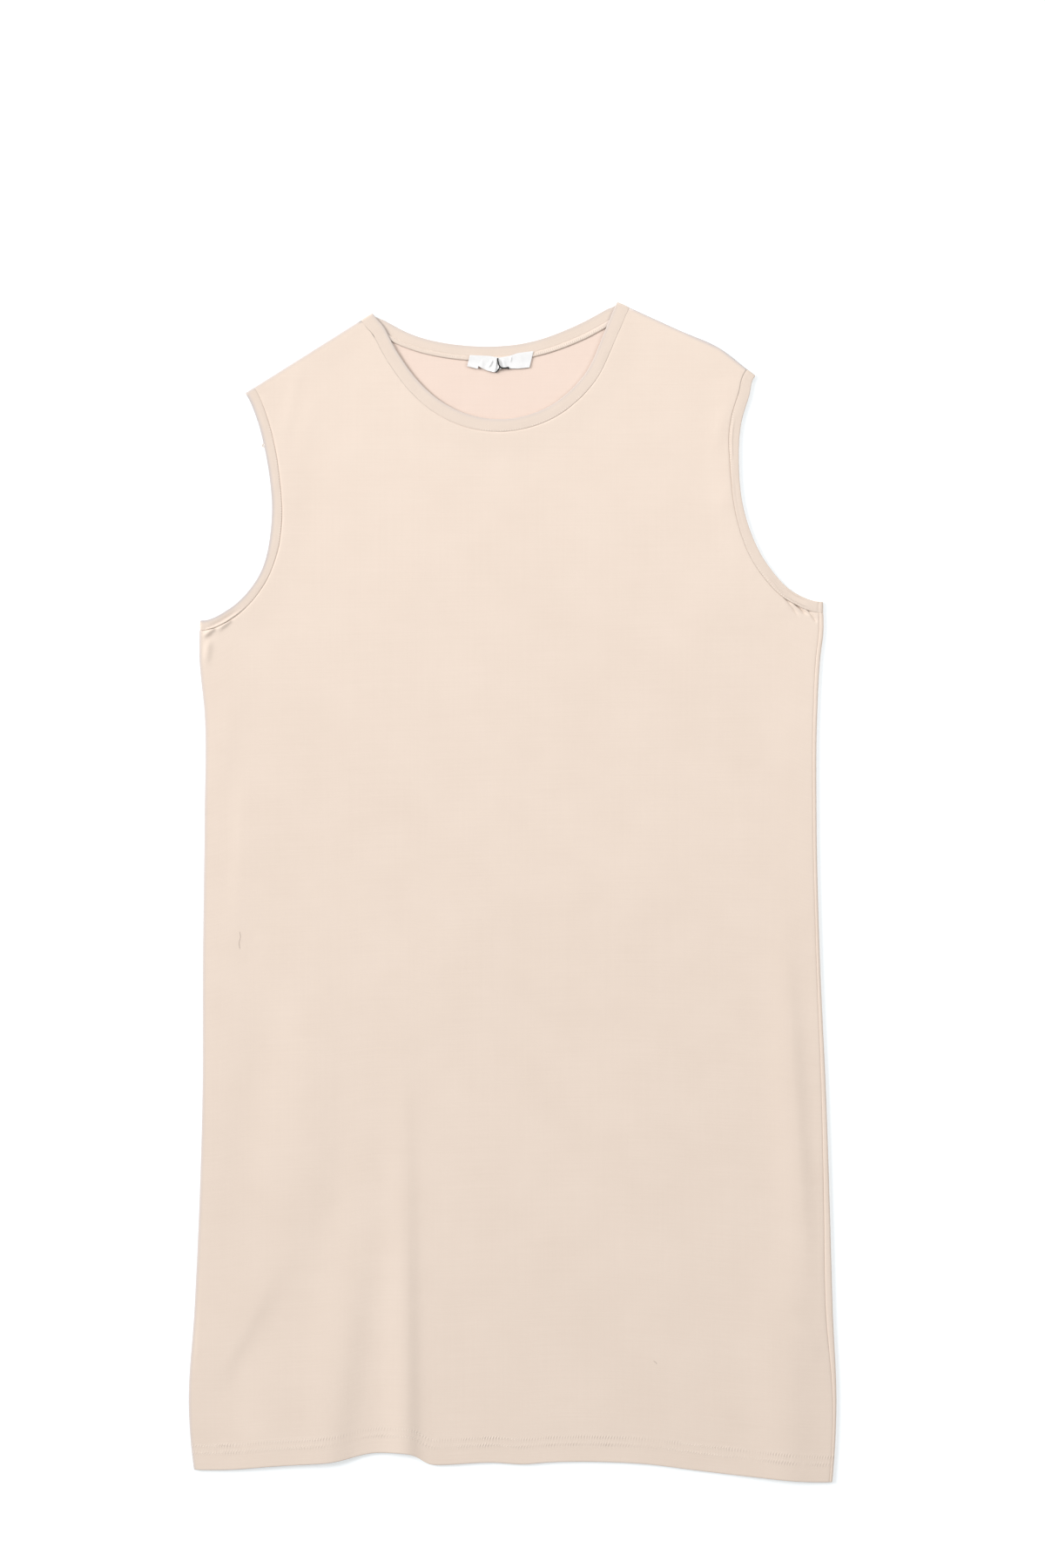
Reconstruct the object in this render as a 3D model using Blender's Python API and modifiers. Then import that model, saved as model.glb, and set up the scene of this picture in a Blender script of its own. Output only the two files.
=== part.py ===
"""A long sleeveless tunic top in plain beige single jersey, lying flat with its front up.

It is cut as a front, a back, a neckband, two armhole bands and a small woven neck label.
Every piece is a thin wall: a surface through stations worked out from the garment's sizes,
with half of the wall on either side of it. Front and back lie on each other and are joined
round soft folds: the front rolls under at the left side and over the shoulders, and the
back rolls over the right side, so that the right side seam lies on top.

Frame: metres, +X to the right as the front is seen, +Y from hem to neck, +Z up. The
origin is under the middle of the garment, on the surface that it lies on. Left and right
are the viewer's. Tables are in millimetres, and the functions turn them into metres.
"""

import math
from collections import namedtuple

import bmesh
import bpy
import numpy as np

MM = 0.001

# Cloth
CLOTH = 1.0 * MM  # wall of one layer of jersey
BAND = 1.6 * MM  # wall of a band, which is jersey folded double
LABEL = 1.0 * MM  # wall of the woven label
GAP = 0.3 * MM  # between pieces that touch
NECKBAND_WIDTH = 10.5 * MM
ARMBAND_WIDTH = 8.0 * MM

# Heights: two bands on each other give the garment's height along every folded edge
FOLDED_HEIGHT = 2 * BAND + GAP
REACH = FOLDED_HEIGHT / 2  # from a fold's axis to its outermost line
PANEL_RADIUS = (FOLDED_HEIGHT - CLOTH) / 2  # of the middle of a panel's wall in a fold
BAND_RADIUS = (FOLDED_HEIGHT - BAND) / 2
BACK_LEVEL = CLOTH / 2  # middle of the back panel's wall
FRONT_LEVEL = 1.5 * CLOTH + GAP  # middle of the front panel's wall, resting on the back
EDGE_RISE = FOLDED_HEIGHT - CLOTH / 2 - FRONT_LEVEL  # the front is this much higher by its edges
RISE_WIDTH = 25.0 * MM  # and falls to its lower level over this distance
UNDERLAP = 1.5 * MM  # how far the front goes on under a fold before its seam with the back

# Outline of the garment as it lies, in millimetres
Point = namedtuple("Point", "x y")
SideRow = namedtuple("SideRow", "y left right seam_inset")
SIDE_ROWS = (
    SideRow(y=-473.5, left=-254.5, right=257.0, seam_inset=2.2),
    SideRow(y=-417.0, left=-260.0, right=260.2, seam_inset=2.6),
    SideRow(y=-334.0, left=-255.4, right=257.2, seam_inset=5.6),
    SideRow(y=-249.0, left=-251.5, right=254.8, seam_inset=4.7),
    SideRow(y=-165.0, left=-249.1, right=252.0, seam_inset=3.6),
    SideRow(y=-54.0, left=-248.7, right=247.0, seam_inset=2.7),
    SideRow(y=58.0, left=-247.4, right=244.3, seam_inset=2.7),
    SideRow(y=142.0, left=-247.3, right=244.8, seam_inset=3.0),
    SideRow(y=190.0, left=-251.6, right=247.5, seam_inset=3.4),
    SideRow(y=208.0, left=-251.5, right=249.7, seam_inset=3.5),
    SideRow(y=226.0, left=-250.4, right=249.5, seam_inset=3.5),
)
HEM_LINE = (
    Point(-260.0, -463.6),
    Point(-232.0, -463.9),
    Point(-190.0, -460.8),
    Point(-150.0, -458.7),
    Point(-55.0, -459.9),
    Point(-15.0, -458.0),
    Point(8.5, -459.4),
    Point(28.0, -457.9),
    Point(70.0, -457.4),
    Point(108.0, -459.3),
    Point(147.0, -464.2),
    Point(193.0, -469.5),
    Point(243.0, -473.7),
    Point(262.0, -473.7),
)
WaveSide = namedtuple("WaveSide", "width power")
HEM_WAVE_X = -98.0
HEM_WAVE_RISE = 9.3
HEM_WAVE_LEFT = WaveSide(width=34.5, power=2.75)
HEM_WAVE_RIGHT = WaveSide(width=26.1, power=5)

LEFT_NECK_POINT = Point(-112.7, 464.5)
RIGHT_NECK_POINT = Point(84.4, 473.5)
LEFT_TIP = Point(-214.4, 400.5)
RIGHT_TIP = Point(195.0, 414.5)
SHOULDER_CURVES = ((), (Point(134.8, 450.5), Point(166.3, 436.5)))  # the left is straight
FRONT_NECK = (
    Point(-103.2, 452.6),
    Point(-98.3, 443.0),
    Point(-88.2, 426.0),
    Point(-76.0, 410.0),
    Point(-60.2, 395.5),
    Point(-44.5, 386.4),
    Point(-9.5, 379.1),
    Point(27.3, 388.2),
    Point(57.1, 413.7),
    Point(75.3, 452.2),
)
BACK_NECK = (
    Point(-103.4, 458.7),
    Point(-82.6, 448.0),
    Point(-37.5, 438.4),
    Point(11.5, 440.7),
    Point(53.6, 455.7),
    Point(75.5, 467.4),
)
LEFT_UNDERARM_Y = 217.5
LEFT_ARMHOLE = (
    Point(-228.2, 226.4),
    Point(-204.8, 251.2),
    Point(-193.1, 300.0),
    Point(-195.4, 337.0),
    Point(-198.9, 356.4),
    Point(-204.0, 376.5),
)
RIGHT_UNDERARM_Y = 232.6
RIGHT_ARMHOLE = (
    Point(225.8, 240.2),
    Point(205.2, 261.5),
    Point(186.2, 304.0),
    Point(181.5, 345.0),
    Point(183.8, 378.0),
    Point(189.8, 398.0),
)

# Soft folds: ridges from their upper to their lower end, in millimetres
Ridge = namedtuple("Ridge", "x_top y_top x_low y_low width front_rise back_rise")
RIDGES = (
    Ridge(x_top=-92.0, y_top=-100.0, x_low=-88.0, y_low=-580.0, width=15.0,
          front_rise=4.0, back_rise=2.0),
    Ridge(x_top=-120.0, y_top=-230.0, x_low=-156.0, y_low=-560.0, width=20.0,
          front_rise=2.0, back_rise=0.0),
    Ridge(x_top=-180.0, y_top=-260.0, x_low=-240.0, y_low=-400.0, width=18.0,
          front_rise=1.2, back_rise=0.0),
    Ridge(x_top=214.0, y_top=0.0, x_low=232.0, y_low=-350.0, width=14.0,
          front_rise=1.6, back_rise=0.0),
)
RIDGE_TAPER = 0.25  # share of a ridge's length over which each end fades

# Neck label, in millimetres: it is a little higher at its right end
LABEL_CENTRE = Point(-9.6, 426.5)
LABEL_LENGTH = 51.0
LABEL_LEFT_HEIGHT = 11.0
LABEL_RIGHT_HEIGHT = 13.2
LABEL_TILT = math.radians(1.5)

# Mesh density
SHOULDER_COLUMNS = 6
NECK_COLUMNS = 14
UPPER_ROWS = 14
LOWER_ROWS = 18
CORNER_STATIONS = 2  # steps of an armhole's level start that bound the body, not the yoke
FOLD_STEPS = 4  # flats round a half turn
LABEL_COLUMNS = 12
LABEL_ROWS = 4
RIDGE_COLUMNS = 8  # of the body's columns, those that cross the main ridge
RIDGE_LEFT = -145.0 * MM
RIDGE_RIGHT = -50.0 * MM
LEFT_COLUMNS = 4  # between the left corner and the main ridge
PLAN_PASSES = 3  # a point's place across and its place up settle each other
CURVE_SAMPLES = 400
EDGE_SAMPLES = 120
WELD = 0.01 * MM  # points of two grids that are closer than this are one

Finish = namedtuple("Finish", "colour roughness metallic")
JERSEY_FRONT = Finish((0.83, 0.70, 0.59), 0.92, 0.0)
JERSEY_BACK = Finish((0.84, 0.68, 0.58), 0.92, 0.0)
JERSEY_NECKBAND = Finish((0.79, 0.67, 0.56), 0.90, 0.0)
JERSEY_ARMBAND = Finish((0.80, 0.67, 0.56), 0.90, 0.0)
LABEL_SATIN = Finish((0.90, 0.90, 0.88), 0.55, 0.0)

# A fold at one end of an edge: a point of its axis, and the way out of the garment there
Fold = namedtuple("Fold", "axis outward")
# An edge of the garment in plan: its stations, and the way along it at each
Edge = namedtuple("Edge", "stations heading")
# What a panel's grid needs to know of its edges, each as points in plan
PanelEdges = namedtuple("PanelEdges", "left right left_shoulder neck right_shoulder")


def column(rows, name):
    """One named column of a table, in metres."""
    return np.array([getattr(row, name) for row in rows]) * MM


def metres(points):
    """Points of a table as an array of x and y in metres."""
    return np.array([(point.x, point.y) for point in points]).reshape(-1, 2) * MM


def unit(vectors):
    return vectors / np.linalg.norm(vectors, axis=-1, keepdims=True)


def to_right(directions):
    """Directions turned a quarter turn clockwise, seen from above."""
    return np.stack((directions[..., 1], -directions[..., 0]), axis=-1)


def smooth_step(value):
    """0 below 0, 1 above 1, and a cubic with level ends between them."""
    value = np.clip(value, 0, 1)
    return value * value * (3 - 2 * value)


def smooth(knots, values, slopes, at):
    """The cubic Hermite curve through values at knots with the given slopes."""
    index = np.clip(np.searchsorted(knots, at, side="right") - 1, 0, len(knots) - 2)
    span = (knots[index + 1] - knots[index]).reshape((-1,) + (1,) * (values.ndim - 1))
    part = (at - knots[index]).reshape(span.shape) / span
    return (
        values[index] * (1 + 2 * part) * (1 - part) ** 2
        + slopes[index] * span * part * (1 - part) ** 2
        + values[index + 1] * (3 - 2 * part) * part**2
        + slopes[index + 1] * span * (part - 1) * part**2
    )


def table_value(rows, key, name, at):
    """A column of a table, read smoothly between its rows. Keys rise down the table."""
    keys = column(rows, key)
    values = column(rows, name)
    slopes = np.gradient(values, keys, edge_order=2)
    flat = np.clip(np.ravel(at), keys[0], keys[-1])
    return smooth(keys, values, slopes, flat).reshape(np.shape(at))


def smooth_edge(points, count, start, end):
    """Evenly spaced stations on the smooth curve through points.

    The curve leaves its first point along start and reaches its last one along end.
    """
    knots = np.append(0, np.cumsum(np.linalg.norm(np.diff(points, axis=0), axis=1)))
    slopes = np.gradient(points, knots, axis=0)
    slopes[0] = start
    slopes[-1] = end
    curve = smooth(knots, points, slopes, np.linspace(0, knots[-1], CURVE_SAMPLES))
    run = np.append(0, np.cumsum(np.linalg.norm(np.diff(curve, axis=0), axis=1)))
    even = np.linspace(0, run[-1], count)
    stations = np.stack([np.interp(even, run, curve[:, k]) for k in (0, 1)], axis=1)
    slope = np.gradient(curve, run, axis=0)
    heading = np.stack([np.interp(even, run, slope[:, k]) for k in (0, 1)], axis=1)
    heading[0] = start
    heading[-1] = end
    return Edge(stations, unit(heading))


def trimmed(points, start=0.0, end=0.0):
    """A polyline shortened along its first and last stretch."""
    points = points.copy()
    points[0] += start * unit(points[1] - points[0])
    points[-1] += end * unit(points[-2] - points[-1])
    return points


# Outline -----------------------------------------------------------------------------


def hem_y(x):
    """The hem's line: a smooth curve with one wave in it, steeper on its right."""
    line = table_value(HEM_LINE, "x", "y", x)
    away = x / MM - HEM_WAVE_X
    left = np.exp(-((np.abs(away) / HEM_WAVE_LEFT.width) ** HEM_WAVE_LEFT.power))
    right = np.exp(-((np.abs(away) / HEM_WAVE_RIGHT.width) ** HEM_WAVE_RIGHT.power))
    return line + HEM_WAVE_RISE * MM * np.where(away < 0, left, right)


def left_axis(y):
    return table_value(SIDE_ROWS, "y", "left", y) + REACH


def right_axis(y):
    return table_value(SIDE_ROWS, "y", "right", y) - REACH


def seam_depth(y):
    """How far inside the right fold's axis the right side seam lies."""
    return table_value(SIDE_ROWS, "y", "seam_inset", y) - REACH


def shoulder_fold(points, index, side):
    """The fold of a shoulder at one of its ends. side is -1 for the left, 1 for the right."""
    along = unit(np.gradient(points, axis=0)[index])
    outward = to_right(along) * -side
    return Fold(points[index] - REACH * outward, outward)


LEFT_SHOULDER = metres((LEFT_NECK_POINT, *SHOULDER_CURVES[0], LEFT_TIP))
RIGHT_SHOULDER = metres((RIGHT_NECK_POINT, *SHOULDER_CURVES[1], RIGHT_TIP))
NECK_FOLDS = (shoulder_fold(LEFT_SHOULDER, 0, -1), shoulder_fold(RIGHT_SHOULDER, 0, 1))
TIP_FOLDS = (shoulder_fold(LEFT_SHOULDER, -1, -1), shoulder_fold(RIGHT_SHOULDER, -1, 1))
UNDERARM_FOLDS = (
    Fold(np.array((left_axis(LEFT_UNDERARM_Y * MM), LEFT_UNDERARM_Y * MM)), np.array((-1.0, 0.0))),
    Fold(np.array((right_axis(RIGHT_UNDERARM_Y * MM), RIGHT_UNDERARM_Y * MM)), np.array((1.0, 0.0))),
)


def edge_between(first, points, last, count):
    """An edge from one fold to another, square to both, through a table's points."""
    path = np.vstack((first.axis, metres(points), last.axis))
    return smooth_edge(path, count, -first.outward, last.outward)


def seam_line(edge, width, side):
    """Where a panel's cut edge lies: beyond a band of this width, towards the cloth.

    side is 1 where the cloth is to the right of the edge's heading, else -1.
    """
    return edge.stations + side * (width + GAP) * to_right(edge.heading)


# Surfaces ----------------------------------------------------------------------------


def ridge_rise(x, y, name):
    """Height that the soft folds add, in metres.

    Across a ridge the height falls as a bell curve, and along it it fades at both ends.
    """
    total = np.zeros(np.shape(x))
    for ridge in RIDGES:
        top = np.array((ridge.x_top, ridge.y_top)) * MM
        run = np.array((ridge.x_low, ridge.y_low)) * MM - top
        length = np.linalg.norm(run)
        along = ((x - top[0]) * run[0] + (y - top[1]) * run[1]) / length**2
        across = ((x - top[0]) * run[1] - (y - top[1]) * run[0]) / length
        fade = smooth_step(along / RIDGE_TAPER) * smooth_step((1 - along) / RIDGE_TAPER)
        bell = np.exp(-((across / (ridge.width * MM)) ** 2))
        total += getattr(ridge, name) * MM * bell * fade
    return total


def distance_to(x, y, line):
    """How far each point is from the nearest point of a polyline, sampled closely."""
    knots = np.linspace(0, 1, len(line))
    at = np.linspace(0, 1, EDGE_SAMPLES)
    samples = np.stack([np.interp(at, knots, line[:, k]) for k in (0, 1)], axis=1)
    away = np.stack((x, y), axis=-1)[..., None, :] - samples
    return np.linalg.norm(away, axis=-1).min(axis=-1)


def front_height(x, y, edges):
    """Middle of the front's wall: low inside, higher by its sewn and folded edges."""
    near = np.minimum(x - left_axis(y), right_axis(y) - x)
    for line in edges:
        near = np.minimum(near, distance_to(x, y, line))
    rise = EDGE_RISE * (1 - smooth_step(near / RISE_WIDTH))
    return FRONT_LEVEL + rise + ridge_rise(x, y, "front_rise")


def back_height(x, y, edges):
    """Middle of the back's wall: flat on what the garment lies on, but for the ridges."""
    return BACK_LEVEL + ridge_rise(x, y, "back_rise")


def body_top(edges):
    """The body's top row: the level start of each armhole, and straight between them.

    Its columns stand closer together across the main ridge.
    """
    left_corner = edges.left[CORNER_STATIONS]
    right_corner = edges.right[CORNER_STATIONS]
    right_columns = 2 * SHOULDER_COLUMNS + NECK_COLUMNS - LEFT_COLUMNS - RIDGE_COLUMNS
    x = np.concatenate((
        np.linspace(left_corner[0], RIDGE_LEFT, LEFT_COLUMNS, endpoint=False),
        np.linspace(RIDGE_LEFT, RIDGE_RIGHT, RIDGE_COLUMNS, endpoint=False),
        np.linspace(RIDGE_RIGHT, right_corner[0], right_columns + 1),
    ))
    y = np.interp(x, (left_corner[0], right_corner[0]), (left_corner[1], right_corner[1]))
    return np.vstack((
        edges.left[:CORNER_STATIONS],
        np.column_stack((x, y)),
        edges.right[:CORNER_STATIONS][::-1],
    ))


def body_plan(left_inset, right_inset, top):
    """Plan of a panel from hem to underarm: rows of x and y.

    The insets are how far inside the folds' axes the rows begin and end, each a function
    of y, and top is the last row.
    """
    share = ((top[:, 0] - top[0, 0]) / (top[-1, 0] - top[0, 0]))[None, :]
    up = np.linspace(0, 1, LOWER_ROWS + 1)[:, None]
    x = left_axis(0.0) + share * (right_axis(0.0) - left_axis(0.0))
    for _ in range(PLAN_PASSES):
        y = hem_y(x) * (1 - up) + top[:, 1] * up
        low = left_axis(y) + left_inset(y)
        high = right_axis(y) - right_inset(y)
        x = low + share * (high - low)
    x[-1] = top[:, 0]
    return x, y


def yoke_plan(edges, base):
    """Plan of the panel above the body: a Coons patch between its four edges.

    Each point is the mean place that the sides give it, plus the one that the base and
    the top give it, less the one that the four corners give it.
    """
    left = edges.left[CORNER_STATIONS:]
    right = edges.right[CORNER_STATIONS:]
    top = np.vstack((edges.left_shoulder[:-1], edges.neck[:-1], edges.right_shoulder))
    share = np.linspace(0, 1, len(top))[None, :, None]
    up = np.linspace(0, 1, len(left))[:, None, None]
    sides = (1 - share) * left[:, None] + share * right[:, None]
    levels = (1 - up) * base[None] + up * top[None]
    corners = (1 - up) * ((1 - share) * base[0] + share * base[-1]) + up * (
        (1 - share) * top[0] + share * top[-1]
    )
    plan = sides + levels - corners
    return plan[..., 0], plan[..., 1]


def no_inset(y):
    return 0.0


def panel_grids(edges, left_inset, right_inset, height):
    """A panel's two grids of points, which share the row between the armholes' corners."""
    top = body_top(edges)
    shared = slice(CORNER_STATIONS, -CORNER_STATIONS)
    body_x, body_y = body_plan(left_inset, right_inset, top)
    yoke_x, yoke_y = yoke_plan(edges, top[shared])
    body = np.stack((body_x, body_y, height(body_x, body_y, edges)), axis=-1)
    yoke = np.stack((yoke_x, yoke_y, height(yoke_x, yoke_y, edges)), axis=-1)
    body[-1, shared] = yoke[0]
    return body, yoke


def round_fold(points, outward, past, climb):
    """Rows of points carried half a turn round a fold, and then past it inwards.

    points lie above or below the fold's axis, past is how far inside it the last row
    ends, and climb is 1 from the bottom to the top and -1 the other way.
    """
    turn = np.linspace(0, math.pi, FOLD_STEPS + 1)[:, None, None]
    plan = points[None, :, :2] + PANEL_RADIUS * np.sin(turn) * outward[None]
    z = REACH - climb * PANEL_RADIUS * np.cos(turn) + 0 * points[None, :, :1]
    rows = np.concatenate((plan, z), axis=-1)
    rows[0] = points
    last = rows[-1:].copy()
    last[..., :2] -= np.reshape(past, (-1, 1)) * outward
    return np.concatenate((rows, last))


# Objects -----------------------------------------------------------------------------


def clear_scene():
    for item in list(bpy.data.objects):
        bpy.data.objects.remove(item, do_unlink=True)


def material(name, finish):
    made = bpy.data.materials.new(name)
    made.use_nodes = True
    shader = made.node_tree.nodes["Principled BSDF"]
    shader.inputs["Base Color"].default_value = (*finish.colour, 1.0)
    shader.inputs["Roughness"].default_value = finish.roughness
    shader.inputs["Metallic"].default_value = finish.metallic
    made.diffuse_color = (*finish.colour, 1.0)
    return made


def grid_faces(rows, columns, first, closed):
    """Corner numbers of a grid's faces. A closed grid's last row meets its first."""
    row = np.arange(rows if closed else rows - 1)[:, None]
    place = np.arange(columns - 1)[None, :]
    here = first + row * columns + place
    above = first + ((row + 1) % rows) * columns + place
    return np.stack((here, here + 1, above + 1, above), axis=-1).reshape(-1, 4)


def cloth_object(name, grids, thickness, finish, collection, closed=False):
    """One wall of cloth from grids of points whose shared borders are welded."""
    points = np.concatenate([grid.reshape(-1, 3) for grid in grids])
    faces = []
    first = 0
    for grid in grids:
        faces += grid_faces(*grid.shape[:2], first, closed).tolist()
        first += grid.shape[0] * grid.shape[1]
    mesh = bpy.data.meshes.new(name)
    mesh.from_pydata(points.tolist(), [], faces)
    work = bmesh.new()
    work.from_mesh(mesh)
    bmesh.ops.remove_doubles(work, verts=work.verts, dist=WELD)
    bmesh.ops.recalc_face_normals(work, faces=work.faces)
    work.to_mesh(mesh)
    work.free()
    mesh.shade_smooth()
    mesh.materials.append(material(name, finish))
    item = bpy.data.objects.new(name, mesh)
    collection.objects.link(item)
    wall = item.modifiers.new("Wall", "SOLIDIFY")
    wall.thickness = thickness
    wall.offset = 0.0
    wall.use_even_offset = True
    return item


def band_object(name, front, back, folds, width, side, finish, collection):
    """A band sewn round an opening: a ring of doubled cloth.

    It runs along the front edge at the upper level, round the fold at its end, back
    along the back edge at the lower level, and round the fold at its start.
    """
    first, last = folds
    turn = np.linspace(0, math.pi, FOLD_STEPS + 1)[1:-1, None]
    out = BAND_RADIUS * np.sin(turn)
    plan = np.vstack((
        front.stations,
        last.axis + out * last.outward,
        back.stations[::-1],
        first.axis + out * first.outward,
    ))
    top = REACH + BAND_RADIUS
    low = REACH - BAND_RADIUS
    arc = REACH + BAND_RADIUS * np.cos(turn[:, 0])
    z = np.concatenate((
        np.full(len(front.stations), top),
        arc,
        np.full(len(back.stations), low),
        arc[::-1],
    ))
    inward = side * np.vstack((
        to_right(front.heading),
        np.repeat(to_right(last.outward)[None], len(turn), axis=0),
        to_right(back.heading)[::-1],
        np.repeat(to_right(-first.outward)[None], len(turn), axis=0),
    ))
    free_edge = np.column_stack((plan, z))
    sewn_edge = np.column_stack((plan + width * inward, z))
    ring = np.stack((free_edge, sewn_edge), axis=1)
    return cloth_object(name, [ring], BAND, finish, collection, closed=True)


def shoulder_line(index, inset):
    """Edge of a panel along a shoulder, from the armhole band to the neckband.

    index is 0 for the left and 1 for the right, and inset is how far inside the fold's
    axis the edge lies.
    """
    side = 2 * index - 1
    tip, neck = TIP_FOLDS[index], NECK_FOLDS[index]
    leave = -side * to_right(tip.outward)
    arrive = -side * to_right(neck.outward)
    start = tip.axis + (ARMBAND_WIDTH + GAP) * leave
    stop = neck.axis - (NECKBAND_WIDTH + GAP) * arrive
    between = metres(SHOULDER_CURVES[index][::-1]) - REACH * unit(tip.outward + neck.outward)
    path = np.vstack((start, between, stop))
    axis = smooth_edge(path, SHOULDER_COLUMNS + 1, leave, arrive)
    return Edge(axis.stations - inset * side * to_right(axis.heading), axis.heading)


def build_front(collection, armholes, neck):
    """The front: flat to the right side seam, and rolled under at left and shoulders."""
    right_depth = seam_depth(UNDERARM_FOLDS[1].axis[1]) + GAP / 2
    left_shoulder = shoulder_line(0, 0.0)
    right_shoulder = shoulder_line(1, 0.0)
    edges = PanelEdges(
        left=seam_line(armholes[0], ARMBAND_WIDTH, 1),
        right=trimmed(seam_line(armholes[1], ARMBAND_WIDTH, -1), start=right_depth),
        left_shoulder=left_shoulder.stations,
        neck=seam_line(neck, NECKBAND_WIDTH, 1),
        right_shoulder=right_shoulder.stations[::-1],
    )
    body, yoke = panel_grids(edges, no_inset, lambda y: seam_depth(y) + GAP / 2, front_height)
    left_outward = np.tile(UNDERARM_FOLDS[0].outward, (LOWER_ROWS + 1, 1))
    left_top = yoke[-1, : SHOULDER_COLUMNS + 1]
    right_top = yoke[-1, -SHOULDER_COLUMNS - 1 :]
    grids = [
        body,
        yoke,
        round_fold(body[:, 0], left_outward, UNDERLAP, -1),
        round_fold(left_top, to_right(-left_shoulder.heading), UNDERLAP, -1),
        round_fold(right_top, to_right(right_shoulder.heading)[::-1], UNDERLAP, -1),
    ]
    return cloth_object("front_panel", grids, CLOTH, JERSEY_FRONT, collection)


def build_back(collection, armholes, neck):
    """The back: flat, and rolled over the right side to the seam on top."""
    inset = UNDERLAP + GAP
    armhole = seam_line(armholes[1], ARMBAND_WIDTH, -1)
    edges = PanelEdges(
        left=trimmed(seam_line(armholes[0], ARMBAND_WIDTH, 1), start=inset, end=inset),
        right=trimmed(armhole, end=inset),
        left_shoulder=shoulder_line(0, inset).stations,
        neck=trimmed(seam_line(neck, NECKBAND_WIDTH, 1), start=inset, end=inset),
        right_shoulder=shoulder_line(1, inset).stations[::-1],
    )
    body, yoke = panel_grids(edges, lambda y: inset, no_inset, back_height)
    right_outward = np.tile(UNDERARM_FOLDS[1].outward, (LOWER_ROWS + 1, 1))
    past = seam_depth(body[:, -1, 1]) - GAP / 2
    roll = round_fold(body[:, -1], right_outward, past, 1)
    seam_rise = (armhole[1, 1] - armhole[0, 1]) / (armhole[0, 0] - armhole[1, 0])
    roll[-1, -1, 1] += seam_rise * past[-1]  # the armhole's sewn edge rises inwards
    return cloth_object("back_panel", [body, yoke, roll], CLOTH, JERSEY_BACK, collection)


def build_label(collection, back_neck):
    """The label lies on the back neckband, and its lower half sinks to the panel."""
    along = np.linspace(-0.5, 0.5, LABEL_COLUMNS + 1)[None, :]
    up = np.linspace(-0.5, 0.5, LABEL_ROWS + 1)[:, None]
    height = LABEL_LEFT_HEIGHT + (along + 0.5) * (LABEL_RIGHT_HEIGHT - LABEL_LEFT_HEIGHT)
    level = along * LABEL_LENGTH
    rise = up * height
    x = (LABEL_CENTRE.x + level * math.cos(LABEL_TILT) - rise * math.sin(LABEL_TILT)) * MM
    y = (LABEL_CENTRE.y + level * math.sin(LABEL_TILT) + rise * math.cos(LABEL_TILT)) * MM
    sewn_edge = back_neck.stations + NECKBAND_WIDTH * to_right(back_neck.heading)
    below = np.interp(x, sewn_edge[:, 0], sewn_edge[:, 1]) - y
    on_band = BAND + GAP + LABEL / 2
    z = on_band - (BAND - CLOTH) * smooth_step(below / (LABEL_LEFT_HEIGHT * MM))
    label = np.stack((x, y, z), axis=-1)
    return cloth_object("neck_label", [label], LABEL, LABEL_SATIN, collection)


def build_tunic():
    collection = bpy.data.collections.new("tunic_top")
    bpy.context.scene.collection.children.link(collection)
    armholes = (
        edge_between(UNDERARM_FOLDS[0], LEFT_ARMHOLE, TIP_FOLDS[0], UPPER_ROWS + 1),
        edge_between(UNDERARM_FOLDS[1], RIGHT_ARMHOLE, TIP_FOLDS[1], UPPER_ROWS + 1),
    )
    front_neck = edge_between(NECK_FOLDS[0], FRONT_NECK, NECK_FOLDS[1], NECK_COLUMNS + 1)
    back_neck = edge_between(NECK_FOLDS[0], BACK_NECK, NECK_FOLDS[1], NECK_COLUMNS + 1)
    build_front(collection, armholes, front_neck)
    build_back(collection, armholes, back_neck)
    band_object("neckband", front_neck, back_neck, NECK_FOLDS, NECKBAND_WIDTH, 1,
                JERSEY_NECKBAND, collection)
    for index, (name, side) in enumerate((("left", 1), ("right", -1))):
        folds = (UNDERARM_FOLDS[index], TIP_FOLDS[index])
        band_object(f"armhole_band_{name}", armholes[index], armholes[index], folds,
                    ARMBAND_WIDTH, side, JERSEY_ARMBAND, collection)
    build_label(collection, back_neck)


clear_scene()
build_tunic()
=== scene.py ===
# %% [markdown]
# # A sleeveless tunic top, lying flat
# The garment is cut from one plain beige single jersey: a front, a back, a neckband and two
# armhole bands, which are strips folded double. A small woven label hangs at the back neck.
# Each piece is a thin sheet worked out with numpy on a grid of two parameters, and Solidify
# gives it its wall. Lengths are in millimetres until a mesh is made from them.

import math
from collections import defaultdict, namedtuple

import bmesh
import bpy
import numpy as np
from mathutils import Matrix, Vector


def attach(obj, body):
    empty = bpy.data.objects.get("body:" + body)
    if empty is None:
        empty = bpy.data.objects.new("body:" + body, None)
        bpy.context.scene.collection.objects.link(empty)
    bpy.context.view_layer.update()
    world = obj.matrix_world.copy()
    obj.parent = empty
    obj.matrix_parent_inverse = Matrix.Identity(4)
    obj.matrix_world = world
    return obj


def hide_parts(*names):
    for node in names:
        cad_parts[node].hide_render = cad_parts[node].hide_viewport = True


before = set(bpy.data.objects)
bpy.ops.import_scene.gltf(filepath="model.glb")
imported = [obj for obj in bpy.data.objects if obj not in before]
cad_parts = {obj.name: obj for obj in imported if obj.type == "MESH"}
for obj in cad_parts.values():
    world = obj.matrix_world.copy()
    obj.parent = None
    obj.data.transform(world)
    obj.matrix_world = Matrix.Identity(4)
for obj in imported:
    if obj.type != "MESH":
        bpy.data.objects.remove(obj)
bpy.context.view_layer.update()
print("Nodes:", sorted(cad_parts))

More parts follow.
